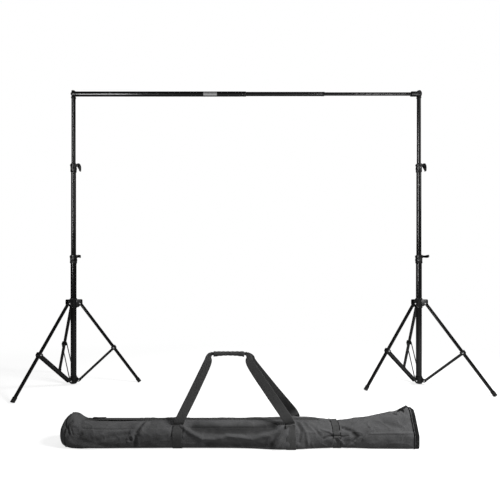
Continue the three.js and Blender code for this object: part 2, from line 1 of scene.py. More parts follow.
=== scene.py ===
# %% [markdown]
# # Dressing a background support
# The object is a studio background support: two folding light stands, a telescopic crossbar and
# the soft bag that carries them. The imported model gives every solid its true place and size.
# This file gives the solids their looks: finer meshes, painted and woven finishes, and light.
# Each step says what the real piece is, how it could be made, and why one way was chosen.

# %% Load the frame
import json
import math

import bpy
import numpy as np
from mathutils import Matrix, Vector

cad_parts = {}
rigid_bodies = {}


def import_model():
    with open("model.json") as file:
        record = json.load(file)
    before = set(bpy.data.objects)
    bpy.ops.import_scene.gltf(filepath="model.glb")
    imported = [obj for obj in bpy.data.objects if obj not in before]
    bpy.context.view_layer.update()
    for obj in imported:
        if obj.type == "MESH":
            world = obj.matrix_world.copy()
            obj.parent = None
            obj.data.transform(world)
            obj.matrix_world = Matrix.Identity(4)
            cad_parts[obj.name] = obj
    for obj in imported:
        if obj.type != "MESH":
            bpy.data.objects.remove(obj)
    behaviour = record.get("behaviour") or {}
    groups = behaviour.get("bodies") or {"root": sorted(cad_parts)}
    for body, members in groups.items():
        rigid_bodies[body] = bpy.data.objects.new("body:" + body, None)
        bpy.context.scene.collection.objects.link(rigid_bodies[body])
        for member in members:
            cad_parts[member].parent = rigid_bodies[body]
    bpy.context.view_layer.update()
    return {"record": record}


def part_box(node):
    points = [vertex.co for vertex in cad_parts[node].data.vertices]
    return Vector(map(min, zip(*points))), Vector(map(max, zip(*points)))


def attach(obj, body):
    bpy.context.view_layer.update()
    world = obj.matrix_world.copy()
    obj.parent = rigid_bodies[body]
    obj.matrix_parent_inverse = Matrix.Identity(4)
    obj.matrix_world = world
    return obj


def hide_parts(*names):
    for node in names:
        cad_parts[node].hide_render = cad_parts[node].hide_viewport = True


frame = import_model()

bpy.context.scene.view_settings.view_transform = "Standard"
record = frame["record"]
body_of_node = {node: body for body, nodes in record["behaviour"]["bodies"].items() for node in nodes}

# %% [markdown]
# ## Camera
# The picture shows the set head on from about the height of a table. A level camera keeps the
# columns upright, as they are in the picture. A taller view could come from tilting the camera up,
# but that would make the columns lean together, so the lens is shifted up a little instead.

# %% Place the camera
camera_data = bpy.data.cameras.new("camera")
camera_data.sensor_width = 36
camera_data.lens = 27
camera_data.shift_x = 0.0076
camera_data.shift_y = 0.0706
camera_data.clip_end = 200
camera = bpy.data.objects.new("camera", camera_data)
camera.location = (-0.0306, -2.130, 0.634)
camera.rotation_euler = (math.radians(90), 0, 0)
bpy.context.scene.collection.objects.link(camera)
bpy.context.scene.camera = camera
print("camera at", tuple(camera.location), "lens", camera_data.lens)

# %% [markdown]
# ## Writing shaders as sums
# A finish is a net of shader nodes. Placing every Math node by hand hides the formula, so a small
# class wraps a socket and lets Python's own signs add the nodes: `1 - mask * 0.5` is two of them.
# Everything else, such as a noise texture, comes from one method that takes the node's type, its
# settings and what goes into its sockets.


# %% A socket with arithmetic
class Wire:
    """One output socket. Sums on it add Math nodes to the finish it belongs to."""

    def __init__(self, finish, socket):
        self.finish = finish
        self.socket = socket

    def math(self, operation, first, second=0.0):
        return self.finish.node("ShaderNodeMath", {"operation": operation}, {0: first, 1: second})

    def __add__(self, other):
        return self.math("ADD", self, other)

    __radd__ = __add__

    def __sub__(self, other):
        return self.math("SUBTRACT", self, other)

    def __rsub__(self, other):
        return self.math("SUBTRACT", other, self)

    def __mul__(self, other):
        return self.math("MULTIPLY", self, other)

    __rmul__ = __mul__

    def sine(self):
        return self.math("SINE", self)

    def larger(self, other):
        return self.math("MAXIMUM", self, other)

    def rise(self, low, high):
        """0 below low, 1 above high, and an S-curve between them."""
        settings = {"interpolation_type": "SMOOTHSTEP"}
        values = {"Value": self, "From Min": low, "From Max": high}
        return self.finish.node("ShaderNodeMapRange", settings, values)

    def of(self, name):
        """Another output of the same node."""
        return Wire(self.finish, self.socket.node.outputs[name])


# %% A finish
class Finish:
    """One material, built from the nodes that its methods add."""

    def __init__(self, name):
        self.material = bpy.data.materials.new(name)
        self.material.use_nodes = True
        self.tree = self.material.node_tree
        self.tree.nodes.clear()

    def node(self, kind, settings=None, inputs=None):
        """Adds a node, sets it up, then fills or links its sockets."""
        made = self.tree.nodes.new(kind)
        for key, value in (settings or {}).items():
            if key == "stops":
                stops = made.color_ramp.elements
                while len(stops) < len(value):
                    stops.new(0.5)
                for stop, (place, colour) in zip(stops, value):
                    stop.position = place
                    stop.color = (*colour, 1)
            else:
                setattr(made, key, value)
        for key, value in (inputs or {}).items():
            if isinstance(key, int):
                socket = made.inputs[key]
            else:
                named = [s for s in made.inputs if s.name == key]
                socket = next((s for s in named if s.enabled), named[0])
            if isinstance(value, Wire):
                self.tree.links.new(value.socket, socket)
            else:
                socket.default_value = value
        live = [s for s in made.outputs if s.enabled]
        return Wire(self, live[0]) if live else made

    def place(self):
        """Where a point is on the object, in metres."""
        return self.node("ShaderNodeTexCoord").of("Object")

    def flat(self):
        """Where a point is on the piece's own unrolled surface, in metres."""
        return self.node("ShaderNodeTexCoord").of("UV")

    def stretched(self, vector, scale):
        """The coordinates times a scale of their own along each axis."""
        return self.node("ShaderNodeVectorMath", {"operation": "MULTIPLY"}, {0: vector, 1: scale})

    def parts(self, vector):
        """The three numbers of a vector."""
        split = self.node("ShaderNodeSeparateXYZ", None, {"Vector": vector})
        return split.of("X"), split.of("Y"), split.of("Z")

    def noise(self, vector, scale, detail=2.0, roughness=0.5):
        """A cloudy pattern from 0 to 1, about `scale` clouds to the metre."""
        values = {"Vector": vector, "Scale": scale, "Detail": detail, "Roughness": roughness}
        return self.node("ShaderNodeTexNoise", None, values)

    def attribute(self, name):
        """A number that the mesh keeps at each point."""
        return self.node("ShaderNodeAttribute", {"attribute_name": name}).of("Fac")

    def blend(self, share, first, second):
        """The first colour where the share is 0 and the second where it is 1."""
        values = {"Factor": share, "A": first, "B": second}
        return self.node("ShaderNodeMix", {"data_type": "RGBA"}, values)

    def bump(self, height, distance, below=None):
        """Relief of a height in metres, laid over an earlier relief if there is one."""
        values = {"Height": height, "Distance": distance, "Strength": 1.0}
        if below is not None:
            values["Normal"] = below
        return self.node("ShaderNodeBump", None, values)

    def close(self, **values):
        """Ends the finish with its surface shader."""
        inputs = {key.replace("_", " ").title().replace("Ior", "IOR"): v for key, v in values.items()}
        surface = self.node("ShaderNodeBsdfPrincipled", None, inputs)
        self.node("ShaderNodeOutputMaterial", None, {"Surface": surface})
        return self.material


def grey(value, tint=(1.0, 1.0, 1.0)):
    """A grey colour with a slight tint, as red, green, blue and 1."""
    return (value * tint[0], value * tint[1], value * tint[2], 1.0)


# %% [markdown]
# ## Floor and light
# The picture's ground is plain white. The floor here is a pale disc that the lamps light like any
# other surface, so that it keeps a soft shadow. Its colour turns into the white of the surroundings
# some metres out. The disc's white could come from strong lamps, but they would wash out the black
# object too, so rays from the camera meet a little light of the floor's own instead.

# %% Make the floor
floor_radius, floor_sides, floor_drop = 30.0, 96, 0.0005
angles = np.linspace(0, 2 * np.pi, floor_sides, endpoint=False)
rim = np.stack([np.cos(angles), np.sin(angles), np.zeros(floor_sides)], 1) * floor_radius
floor_mesh = bpy.data.meshes.new("floor")
floor_mesh.from_pydata(rim.tolist(), [], [list(range(floor_sides))])
floor = bpy.data.objects.new("floor", floor_mesh)
floor.location = (0, 0, -floor_drop)
bpy.context.scene.collection.objects.link(floor)
print("floor radius", floor_radius, "m")

# %% Finish of the floor
white_from, white_to = 1.0, 2.2
ground = Finish("floor_paper")
squeezed = ground.stretched(ground.place(), (0.55, 1.0, 1.0))
distance = ground.node("ShaderNodeVectorMath", {"operation": "LENGTH"}, {0: squeezed}).of("Value")
far_share = distance.rise(white_from, white_to)
seen = ground.node("ShaderNodeLightPath").of("Is Camera Ray")
fibres = ground.noise(ground.place(), 60.0, 3.0)
paper = ground.blend(fibres.rise(0.3, 0.7), grey(0.30), grey(0.34))
matt = ground.node("ShaderNodeBsdfDiffuse", None, {"Color": paper})
unlit, glow, white = (
    ground.node("ShaderNodeEmission", None, {"Color": grey(value), "Strength": strength})
    for value, strength in ((0.0, 0.0), (1.0, 0.80), (1.0, 1.0))
)
own_light = ground.node("ShaderNodeMixShader", None, {0: seen, 1: unlit, 2: glow})
lit = ground.node("ShaderNodeAddShader", None, {0: matt, 1: own_light})
paper_end = ground.node("ShaderNodeMixShader", None, {0: seen * far_share, 1: lit, 2: white})
ground.node("ShaderNodeOutputMaterial", None, {"Surface": paper_end})
floor_mesh.materials.append(ground.material)
print("floor turns white from", white_from, "to", white_to, "m out")

# %% Light the set
world = bpy.data.worlds.new("surroundings")
bpy.context.scene.world = world
world.use_nodes = True
world.node_tree.nodes.clear()


class Surroundings(Finish):
    """The world's shader, written with the same methods as a finish."""

    def __init__(self, tree):
        self.tree = tree


scattered_strength, mirrored_strength = 0.18, 0.05
air = Surroundings(world.node_tree)
path = air.node("ShaderNodeLightPath")
direct = path.of("Is Camera Ray").larger(path.of("Is Transmission Ray"))
mirror_loss = path.of("Is Glossy Ray") * (scattered_strength - mirrored_strength)
strength = direct + (1 - direct) * (scattered_strength - mirror_loss)
sky = air.node("ShaderNodeBackground", None, {"Color": grey(1.0), "Strength": strength})
air.node("ShaderNodeOutputWorld", None, {"Surface": sky})


def softbox(name, place, aim, width, height, power, mirrored=True, scattered=True):
    """A rectangular lamp at a place, turned so that its face looks at the aim. One that isn't
    mirrored gives no highlight, and one that isn't scattered gives nothing but highlights."""
    data = bpy.data.lights.new(name, "AREA")
    data.shape = "RECTANGLE"
    data.size, data.size_y = width, height
    data.energy = power
    lamp = bpy.data.objects.new(name, data)
    lamp.visible_camera = False
    lamp.visible_glossy, lamp.visible_diffuse = mirrored, scattered
    direction = np.array(aim, float) - np.array(place, float)
    flat_length = math.hypot(direction[0], direction[1])
    tilt = math.atan2(flat_length, -direction[2])
    turn = math.atan2(direction[1], direction[0]) - math.pi / 2
    lamp.location = place
    lamp.rotation_euler = (tilt, 0, turn)
    bpy.context.scene.collection.objects.link(lamp)
    return lamp


softbox("lamp_columns", (-1.38, -1.50, 2.10), (1.39, -0.67, 1.90), 0.45, 2.0, 74, scattered=False)
softbox("lamp_columns_right", (2.2, -0.4, 2.3), (0.0, 0.27, 1.5), 2.6, 1.6, 12, scattered=False)
softbox("lamp_bar_left", (-2.50, -2.35, 0.30), (-2.0, 0.27, 1.86), 1.30, 0.50, 112, scattered=False)
softbox("lamp_bar_right", (2.15, -2.35, 0.30), (1.1, 0.27, 1.86), 0.8, 0.50, 36, scattered=False)
softbox("lamp_legs", (-2.40, -1.70, 0.45), (-0.6, 0.27, 0.4), 0.5, 0.9, 14, scattered=False)
softbox("lamp_high_right", (1.7, -1.2, 2.1), (0.3, -0.6, 0.1), 0.7, 0.6, 112, mirrored=False)
softbox("lamp_above", (0.0, 0.4, 4.6), (0, 0.2, 0.3), 4.0, 2.2, 40, mirrored=False)

# %% [markdown]
# ## Surfaces from arrays
# The solids of the frame are made of a few flat sides each. Their finer skins could be modelled by
# hand or with modifiers, but most of them are one profile carried round an axis, or one outline
# given a thickness. Both are grids of points that numpy works out in a single expression. A `Skin`
# keeps points, faces, the unrolled coordinates of each face corner, and a share at each point that
# marks rubbed edges, and also painted highlight on the castings' ribs and painted shade in the bag's
# creases. Lengths are in millimetres, as on a workshop drawing, and turn into metres with the mesh.


# %% A skin of points and faces
class Skin:
    """Points, blocks of faces with equal corner counts, their flat coordinates, and a share from 0 to 1 at
    each point for rubbed wear, painted highlight and painted shade.
    """

    def __init__(self, points, faces, flats, worn=None):
        self.points = np.asarray(points, float)
        self.faces = [np.asarray(block, int) for block in faces]
        self.flats = [np.asarray(block, float) for block in flats]
        self.worn = np.zeros(len(self.points)) if worn is None else np.asarray(worn, float)

    def volume(self):
        """A sixth of the sum, over fans of triangles, of one corner times the cross of the other two."""
        total = 0.0
        for block in self.faces:
            corners = self.points[block]
            first = corners[:, :1]
            second, third = corners[:, 1:-1], corners[:, 2:]
            total += np.sum(first * np.cross(second, third))
        return total / 6

    def outward(self):
        """The same skin with its faces looking out."""
        if self.volume() >= 0:
            return self
        faces = [block[:, ::-1] for block in self.faces]
        return Skin(self.points, faces, [block[:, ::-1] for block in self.flats], self.worn)

    def moved(self, turn=None, shift=(0, 0, 0)):
        """Turned by a 3 by 3 matrix, then shifted."""
        points = self.points if turn is None else self.points @ np.asarray(turn).T
        return Skin(points + np.asarray(shift, float), self.faces, self.flats, self.worn)


def all_moved(skins, turn=None, shift=(0, 0, 0)):
    """Several skins turned and shifted alike."""
    return [skin.moved(turn, shift) for skin in skins]


def together(skins):
    """Several skins as one, each with its face numbers moved on."""
    starts = np.cumsum([0] + [len(skin.points) for skin in skins[:-1]])
    faces = [block + start for skin, start in zip(skins, starts) for block in skin.faces]
    flats = [block for skin in skins for block in skin.flats]
    points = np.concatenate([skin.points for skin in skins])
    return Skin(points, faces, flats, np.concatenate([skin.worn for skin in skins]))


# %% Grids and rounded corners
def grid(points, flat, wrap_rows=False, wrap_columns=True, worn=None, ends=True):
    """A skin over rows and columns of points. Where only the columns wrap round, `ends` closes the
    first and last row with one flat face each."""
    rows, columns = points.shape[:2]
    last_row = rows if wrap_rows else rows - 1
    last_column = columns if wrap_columns else columns - 1
    r, c = np.meshgrid(np.arange(last_row), np.arange(last_column), indexing="ij")
    steps = ((0, 0), (0, 1), (1, 1), (1, 0))
    faces = np.stack([((r + dr) % rows) * columns + (c + dc) % columns for dr, dc in steps], -1)
    flats = np.stack([flat[r + dr, c + dc] for dr, dc in steps], -2)
    blocks, corners = [faces.reshape(-1, 4)], [flats.reshape(-1, 4, 2)]
    if ends and wrap_columns and not wrap_rows:
        for row, order in ((0, -1), (rows - 1, 1)):
            ring = (row * columns + np.arange(columns))[::order]
            blocks.append(ring[None])
            corners.append(points.reshape(-1, 3)[ring][None, :, 1:])
    worn = None if worn is None else worn.reshape(-1)
    return Skin(points.reshape(-1, 3), blocks, corners, worn)


def eased(outline, reach, steps=4):
    """Each corner gives way to a quadratic curve from `reach` before it to `reach` after it.
    Returns the points and, for each, how near it is to the middle of its curve."""
    outline = np.asarray(outline, float)
    reach = np.broadcast_to(np.asarray(reach, float), len(outline))[:, None]

    def short_of(neighbour):
        """The points that lie `reach` towards a neighbour, or just short of half way to it."""
        edge = neighbour - outline
        length = np.maximum(np.linalg.norm(edge, axis=1, keepdims=True), 1e-9)
        return outline + edge / length * np.minimum(reach, 0.48 * length)

    start, end = short_of(np.roll(outline, 1, 0)), short_of(np.roll(outline, -1, 0))
    t = np.linspace(0, 1, steps)[None, :, None]
    curve = (1 - t) ** 2 * start[:, None] + 2 * t * (1 - t) * outline[:, None] + t**2 * end[:, None]
    middle = np.broadcast_to(1 - np.abs(2 * t[..., 0] - 1), curve.shape[:2]) * (reach > 0)
    points, worn = curve.reshape(-1, 2), middle.reshape(-1)
    fresh = np.linalg.norm(points - np.roll(points, 1, 0), axis=1) > 1e-6
    return points[fresh], worn[fresh]


def divided(line, worn, step):
    """Points added along a line by its own length, so that none is further than `step` from the next."""
    gaps = np.linalg.norm(np.diff(line, axis=0), axis=1)
    parts = np.maximum(np.ceil(gaps / step).astype(int), 1)
    index = np.repeat(np.arange(len(gaps)), parts)
    share = (np.arange(len(index)) - np.repeat(np.cumsum(parts) - parts, parts)) / parts[index]
    points = line[index] + (line[index + 1] - line[index]) * share[:, None]
    wear_and_light_values = worn[index] + (worn[index + 1] - worn[index]) * share
    return np.vstack([points, line[-1:]]), np.append(wear_and_light_values, worn[-1])


# %% Lathe work
def turned(profile, sides=48, reach=0.5, steps=4, fine=None, relief=None):
    """A profile of (radius, height) carried once round Z. One that starts and ends on the axis
    closes in a pole at each end, and any other closes on itself.
    relief(angle, height, radius) is what is added to the radius."""
    profile = np.asarray(profile, float)
    poles = profile[0, 0] < 1e-9 and profile[-1, 0] < 1e-9
    reach = np.broadcast_to(np.asarray(reach, float), len(profile)).copy()
    if poles:
        reach[[0, -1]] = 0
    line, worn = eased(profile, reach, steps)
    if poles:
        first = int(np.argmin(np.linalg.norm(line - profile[0], axis=1)))
        line, worn = np.roll(line, -first, 0), np.roll(worn, -first)
    if fine is not None:
        line, worn = divided(line, worn, fine)
    if poles:
        line, worn = line[line[:, 0] > 1e-9], worn[line[:, 0] > 1e-9]
    angle = np.arange(sides) * 2 * np.pi / sides
    radius = np.broadcast_to(line[:, :1], (len(line), sides)).copy()
    height = np.broadcast_to(line[:, 1:], (len(line), sides))
    if relief is not None:
        radius += relief(angle[None, :], height, radius)
    points = np.stack([radius * np.cos(angle), radius * np.sin(angle), height], -1)
    loop = np.vstack([line, line[:1]])
    run = np.concatenate([[0], np.cumsum(np.linalg.norm(np.diff(loop, axis=0), axis=1))])
    around = np.append(angle, 2 * np.pi) * line[:, 0].max()
    flat = np.stack(np.meshgrid(run, around, indexing="ij")[::-1], -1)
    wear_and_light_values = np.repeat(worn[:, None], sides, 1)
    skin = grid(points, flat, wrap_rows=not poles, worn=wear_and_light_values, ends=False)
    if not poles:
        return skin.outward()
    tips = np.array([[0, 0, profile[0, 1]], [0, 0, profile[-1, 1]]])
    everything = np.concatenate([skin.points, tips])
    ring, last = np.arange(sides), (len(line) - 1) * sides
    after = (ring + 1) % sides
    count = len(skin.points)
    near = np.stack([np.full(sides, count), after, ring], -1)
    far = np.stack([np.full(sides, count + 1), last + ring, last + after], -1)
    flats = [skin.flats[0], everything[near][..., :2], everything[far][..., :2]]
    return Skin(everything, [skin.faces[0], near, far], flats, np.append(skin.worn, [0, 0])).outward()


def rod(radius, low, high, sides=40, reach=0.5):
    """A solid round bar from one height to another."""
    return turned([[0, low], [radius, low], [radius, high], [0, high]], sides, reach)


def pipe(radius, wall, low, high, sides=64, reach=0.45):
    """A hollow round bar with its lips rounded."""
    inner = radius - wall
    return turned([[inner, low], [radius, low], [radius, high], [inner, high]], sides, reach)


# %% Plates with softened edges
def flowing(points, per=6):
    """A closed Catmull-Rom curve: between two points, a cubic whose slope at each is half the way
    from its neighbour before to its neighbour after."""
    p = np.asarray(points, float)
    before, after, beyond = np.roll(p, 1, 0), np.roll(p, -1, 0), np.roll(p, -2, 0)
    t = (np.arange(per) / per)[None, :, None]
    a, b, c, d = (q[:, None] for q in (before, p, after, beyond))
    curve = 2 * b + (c - a) * t + (2 * a - 5 * b + 4 * c - d) * t**2 + (3 * b - a - 3 * c + d) * t**3
    return (curve / 2).reshape(-1, p.shape[1])


def plate(outline, thickness, edge=0.6, steps=4):
    """An outline in the XZ plane given a thickness along Y. Near each face the outline draws in
    along its own normal on a quarter circle: by edge * (1 - cos a) at edge * (1 - sin a) from it."""
    outline = np.asarray(outline, float)
    tangent = np.roll(outline, -1, 0) - np.roll(outline, 1, 0)
    normal = np.stack([tangent[:, 1], -tangent[:, 0]], 1)
    normal /= np.maximum(np.linalg.norm(normal, axis=1, keepdims=True), 1e-9)
    nxt = np.roll(outline, -1, 0)
    area = np.sum(outline[:, 0] * nxt[:, 1] - nxt[:, 0] * outline[:, 1])
    normal *= np.sign(area)
    a = np.linspace(np.pi / 2, 0, steps)
    inset = edge * (1 - np.cos(a))
    level = edge * (1 - np.sin(a)) - thickness / 2
    inset, level = np.append(inset, inset[::-1]), np.append(level, -level[::-1])
    drawn = outline[None] - normal[None] * inset[:, None, None]
    width = np.broadcast_to(level[:, None], drawn.shape[:2])
    points = np.stack([drawn[..., 0], width, drawn[..., 1]], -1)
    loop = np.vstack([outline, outline[:1]])
    run = np.concatenate([[0], np.cumsum(np.linalg.norm(np.diff(loop, axis=0), axis=1))])
    flat = np.stack(np.meshgrid(level, run, indexing="ij"), -1)
    bend = np.append(np.sin(2 * a), np.sin(2 * a)[::-1])
    skin = grid(points, flat, worn=np.repeat(bend[:, None], len(outline), 1))
    skin.flats = [skin.flats[0]] + [points.reshape(-1, 3)[block][..., ::2] for block in skin.faces[1:]]
    return skin.outward()


def block(low_x, high_x, width, low_z, high_z, edge=0.6):
    """A box with softened edges, centred on Y."""
    corners = [[low_x, low_z], [high_x, low_z], [high_x, high_z], [low_x, high_z]]
    return plate(eased(corners, edge)[0], width, edge)


def arc(centre, radius, start, end, count=14):
    """Points on part of a circle, with the angles in degrees."""
    a = np.radians(np.linspace(start, end, count))
    return np.stack([centre[0] + radius * np.cos(a), centre[1] + radius * np.sin(a)], 1).tolist()


# %% Turning matrices
def turn_x(angle):
    """A turn about X: the cosine on the diagonal, the sine below it and its opposite above."""
    c, s = math.cos(angle), math.sin(angle)
    return np.array([[1, 0, 0], [0, c, -s], [0, s, c]])


def turn_y(angle):
    """The same turn about Y."""
    c, s = math.cos(angle), math.sin(angle)
    return np.array([[c, 0, s], [0, 1, 0], [-s, 0, c]])


def turn_z(angle):
    """The same turn about Z."""
    c, s = math.cos(angle), math.sin(angle)
    return np.array([[c, -s, 0], [s, c, 0], [0, 0, 1]])


to_x = turn_y(math.pi / 2)
to_y = turn_x(-math.pi / 2)
sample = pipe(17.5, 1.5, 0, 100)
print("pipe of 100 mm:", len(sample.points), "points,", round(sample.volume()), "cubic mm")

# %% [markdown]
# ## Finishes of the hard parts
# Light stands are drawn aluminium tube under satin black paint, with glass-filled nylon castings,
# glossier nylon levers and rubber boots. A photograph of each could be wrapped round the pieces.
# Noise textures suit them better, because they have no seams and hold at any distance. Paint gets a
# fine orange peel and hairline scratches along the tube, where one tube slides in the other.

# %% Paint on tubes
paint = Finish("tube_paint")
at, unrolled = paint.place(), paint.flat()
cloud = paint.noise(at, 9.0, 4.0)
peel = paint.noise(at, 1300.0, 2.0)
hairlines = paint.noise(paint.stretched(unrolled, (2600.0, 14.0, 1.0)), 1.0, 3.0).rise(0.61, 0.74)
rubbed = hairlines * cloud.rise(0.50, 0.70)
lip = (paint.attribute("worn") * paint.noise(at, 240.0, 3.0)).rise(0.40, 0.62)
coat = paint.blend(cloud, grey(0.0032), grey(0.0050))
coat = paint.blend(rubbed * 0.3, coat, grey(0.014))
coat = paint.blend(lip * 0.8, coat, grey(0.30))
tube_paint = paint.close(
    base_color=coat,
    roughness=0.20 + cloud * 0.05 + rubbed * 0.04,
    metallic=lip * 0.7,
    normal=paint.bump(peel, 0.000002),
)

# %% Nylon of the castings
nylon = Finish("cast_nylon")
at = nylon.place()
grain = nylon.noise(at, 1700.0, 3.0, 0.6)
fibres = nylon.noise(nylon.stretched(at, (900.0, 900.0, 350.0)), 1.0, 2.0).rise(0.62, 0.72)
wash = nylon.noise(at, 45.0, 3.0)
# Lighter colour where the share is high: rubbed wear on rounded edges, and along the crossed ribs of the
# clamp castings a painted highlight that stands in for their glints.
edge = (nylon.attribute("worn") * nylon.noise(at, 320.0, 2.0)).rise(0.28, 0.58)
shell = nylon.blend(wash, grey(0.0040), grey(0.0070))
shell = nylon.blend(fibres * 0.3, shell, grey(0.022))
shell = nylon.blend(edge * 0.5, shell, grey(0.075))
cast_nylon = nylon.close(
    base_color=shell,
    roughness=0.30 + wash * 0.12 + fibres * 0.08,
    normal=nylon.bump(grain + fibres * 0.4, 0.00006),
)

# %% Glossy nylon of levers and knobs
gloss = Finish("lever_nylon")
at = gloss.place()
smear = gloss.noise(gloss.stretched(at, (60.0, 60.0, 22.0)), 1.0, 4.0)
edge = (gloss.attribute("worn") * gloss.noise(at, 400.0, 2.0)).rise(0.38, 0.66)
skin_colour = gloss.blend(smear, grey(0.0030), grey(0.0050))
lever_nylon = gloss.close(
    base_color=gloss.blend(edge * 0.4, skin_colour, grey(0.06)),
    roughness=0.20 + smear * 0.18,
    normal=gloss.bump(gloss.noise(at, 700.0, 2.0), 0.00002),
)

# %% Rubber of the boots
rubber = Finish("boot_rubber")
at = rubber.place()
_, _, lift = rubber.parts(at)
dust = (1 - lift.rise(0.002, 0.035)) * rubber.noise(at, 160.0, 4.0).rise(0.45, 0.7)
pores = rubber.noise(at, 1500.0, 2.0)
body_colour = rubber.blend(rubber.noise(at, 70.0, 3.0), grey(0.006), grey(0.011))
boot_rubber = rubber.close(
    base_color=rubber.blend(dust * 0.5, body_colour, grey(0.11, (1.0, 0.96, 0.9))),
    roughness=0.72 + dust * 0.2,
    normal=rubber.bump(pores, 0.00007),
)

# %% Blackened steel of straps and studs
steel = Finish("blackened_steel")
at, unrolled = steel.place(), steel.flat()
rolled = steel.noise(steel.stretched(unrolled, (1500.0, 30.0, 1.0)), 1.0, 3.0)
cloud = steel.noise(at, 26.0, 4.0)
edge = (steel.attribute("worn") * steel.noise(at, 300.0, 3.0)).rise(0.34, 0.58)
scale_colour = steel.blend(cloud, grey(0.006), grey(0.013))
blackened_steel = steel.close(
    base_color=steel.blend(edge * 0.75, scale_colour, grey(0.28)),
    roughness=0.34 + rolled * 0.16,
    metallic=0.2 + edge * 0.6,
    normal=steel.bump(rolled, 0.00003),
)

# %% Bright metals of the zip slider, the plated rivets and the blank plate
def bright_metal(name, stretch, detail, shades, roughness, metallic, depth):
    """Metal whose streaks, a stretched noise, drive its colour, its roughness and its relief."""
    metal = Finish(name)
    streaks = metal.noise(metal.stretched(metal.place(), stretch), 1.0, detail)
    return metal.close(
        base_color=metal.blend(streaks, grey(shades[0]), grey(shades[1])),
        roughness=roughness[0] + streaks * roughness[1],
        metallic=metallic,
        normal=metal.bump(streaks, depth),
    )


slider_streaks, plate_streaks = (90.0, 2400.0, 2400.0), (12.0, 4200.0, 4200.0)
spangle = (700.0, 700.0, 700.0)
zip_metal = bright_metal("zip_metal", slider_streaks, 3.0, (0.16, 0.26), (0.28, 0.2), 1.0, 2e-5)
rivet_zinc = bright_metal("rivet_zinc", spangle, 2.0, (0.42, 0.60), (0.34, 0.14), 0.4, 2e-5)
blank_plate = bright_metal("blank_plate", plate_streaks, 1.0, (0.55, 0.60), (0.30, 0.04), 0.85, 2e-6)
slot_finish = {
    "black_tube": tube_paint, "black_casting": cast_nylon, "black_plastic": lever_nylon,
    "black_rubber": boot_rubber, "strap_steel": blackened_steel, "zip_metal": zip_metal,
}
print("finishes", [m.name for m in bpy.data.materials if m.users])


# %% Put a skin in the scene
def show(name, skins, slot, body, replaces=(), finish=None, sharp=34):
    """Makes one mesh of the skins, gives it its finish and lets it ride a body of the frame."""
    skin = together(skins)
    mesh = bpy.data.meshes.new(name)
    corners = [face for block in skin.faces for face in block.tolist()]
    mesh.from_pydata((skin.points * 0.001).tolist(), [], corners)
    layer = mesh.uv_layers.new(name="flat")
    layer.data.foreach_set("uv", np.concatenate([b.reshape(-1) for b in skin.flats]) * 0.001)
    # Each point's share goes on the mesh: rubbed wear, and painted highlight on the casting ribs and
    # painted shade in the bag's creases.
    wear_and_light_values = mesh.attributes.new("worn", "FLOAT", "POINT")
    wear_and_light_values.data.foreach_set("value", skin.worn.astype(np.float32))
    mesh.shade_smooth()
    mesh.set_sharp_from_angle(angle=math.radians(sharp))
    mesh.materials.append(finish or slot_finish[slot])
    piece = bpy.data.objects.new(name, mesh)
    bpy.context.scene.collection.objects.link(piece)
    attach(piece, body)
    if replaces:
        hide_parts(*replaces)
    return piece


def stand_in(node, skins, slot, finish=None, sharp=34):
    """Shows the skins in place of a solid of the frame, on that solid's own body."""
    return show(node + "_shown", skins, slot, body_of_node[node], [node], finish, sharp)


# %% [markdown]
# ## Columns
# Each column is three tubes that slide one in the other. Their places and lengths are read from the
# frame and their radii are given, so that a finer tube lies exactly where the solid does. A small
# rivet holds the lower clamp casting to its tube, and shows as a dimple in the picture.

# %% Column sizes
tube_wall = 1.5
slide_gap = 0.3
lower_radius, middle_radius, upper_radius = 17.5, 15.0, 12.5
lower_top, middle_top, upper_top = 800.0, 1384.0, 1831.4
eye_bottom, eye_top, bar_height = 1842.0, 1874.0, 1858.0
base_turn = {"left": math.radians(-112), "right": math.radians(-160)}
knob_turn = {"left": math.radians(180), "right": math.radians(-60)}


def centre_of(node):
    """The middle of a solid's box, in millimetres."""
    low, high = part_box(node)
    return np.array([(low[i] + high[i]) * 500 for i in range(3)])


column_at = {side: centre_of(f"{side}_lower_tube") * [1, 1, 0] for side in ("left", "right")}
print("columns at", {side: place.round(2).tolist() for side, place in column_at.items()})


def dome(radius, height, depth=1.0):
    """A low rivet head on a face at height zero, sunk by depth below it."""
    a = np.linspace(0, np.pi / 2, 6)
    cap = np.stack([radius * np.sin(a), height * np.cos(a)], 1).tolist()
    return turned(cap + [[radius, -depth], [0, -depth]], 24, 0.0)


# %% Make the tubes
rivet_below_top, rivet_sunk = 48.0, 0.2
tube_radius = {"lower_tube": lower_radius, "middle_tube": middle_radius, "upper_tube": upper_radius}
for side, place in column_at.items():
    for node, radius in tube_radius.items():
        low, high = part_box(f"{side}_{node}")
        skins = [pipe(radius, tube_wall, low[2] * 1000, high[2] * 1000)]
        if node == "lower_tube":
            head_at = (0, -radius + rivet_sunk, high[2] * 1000 - rivet_below_top)
            skins.append(dome(3.2, 1.3).moved(to_x).moved(turn_z(-math.pi / 2), head_at))
        stand_in(f"{side}_{node}", all_moved(skins, None, place), "black_tube")
print("tubes made")

# %% [markdown]
# ## Clamp castings and levers
# A nylon casting sits on the top of each outer tube and grips the inner one. It is a barrel with
# raised ribs that cross, and a boss for the lever's screw. The ribs give the small glints of the
# picture, helped by a painted highlight along their tops. The casting could be cut with Boolean
# tools. Here the ribs are part of the formula of the barrel's radius, and the boss flares at its
# root, so that it looks moulded in one with the barrel.


# %% Clamp casting
casting_seat, screw_height = 26.0, 44.0
ribs_low, ribs_high = 4.0, 40.0


def rib_share(angle, up):
    """1 along two families of helical ribs that cross at the front, 0 between them and near the rims:
    a rib is where |sin(1.5 * angle +- pi * (up - 0.5) + 3/4 pi)| is small."""
    phase = 1.5 * angle + 0.75 * np.pi
    ribs = [np.exp(-(np.sin(phase + side * np.pi * (up - 0.5)) / 0.30) ** 2) for side in (-1, 1)]
    return np.maximum(*ribs) * np.clip((up - 0.04) / 0.1, 0, 1) * np.clip((0.96 - up) / 0.1, 0, 1)


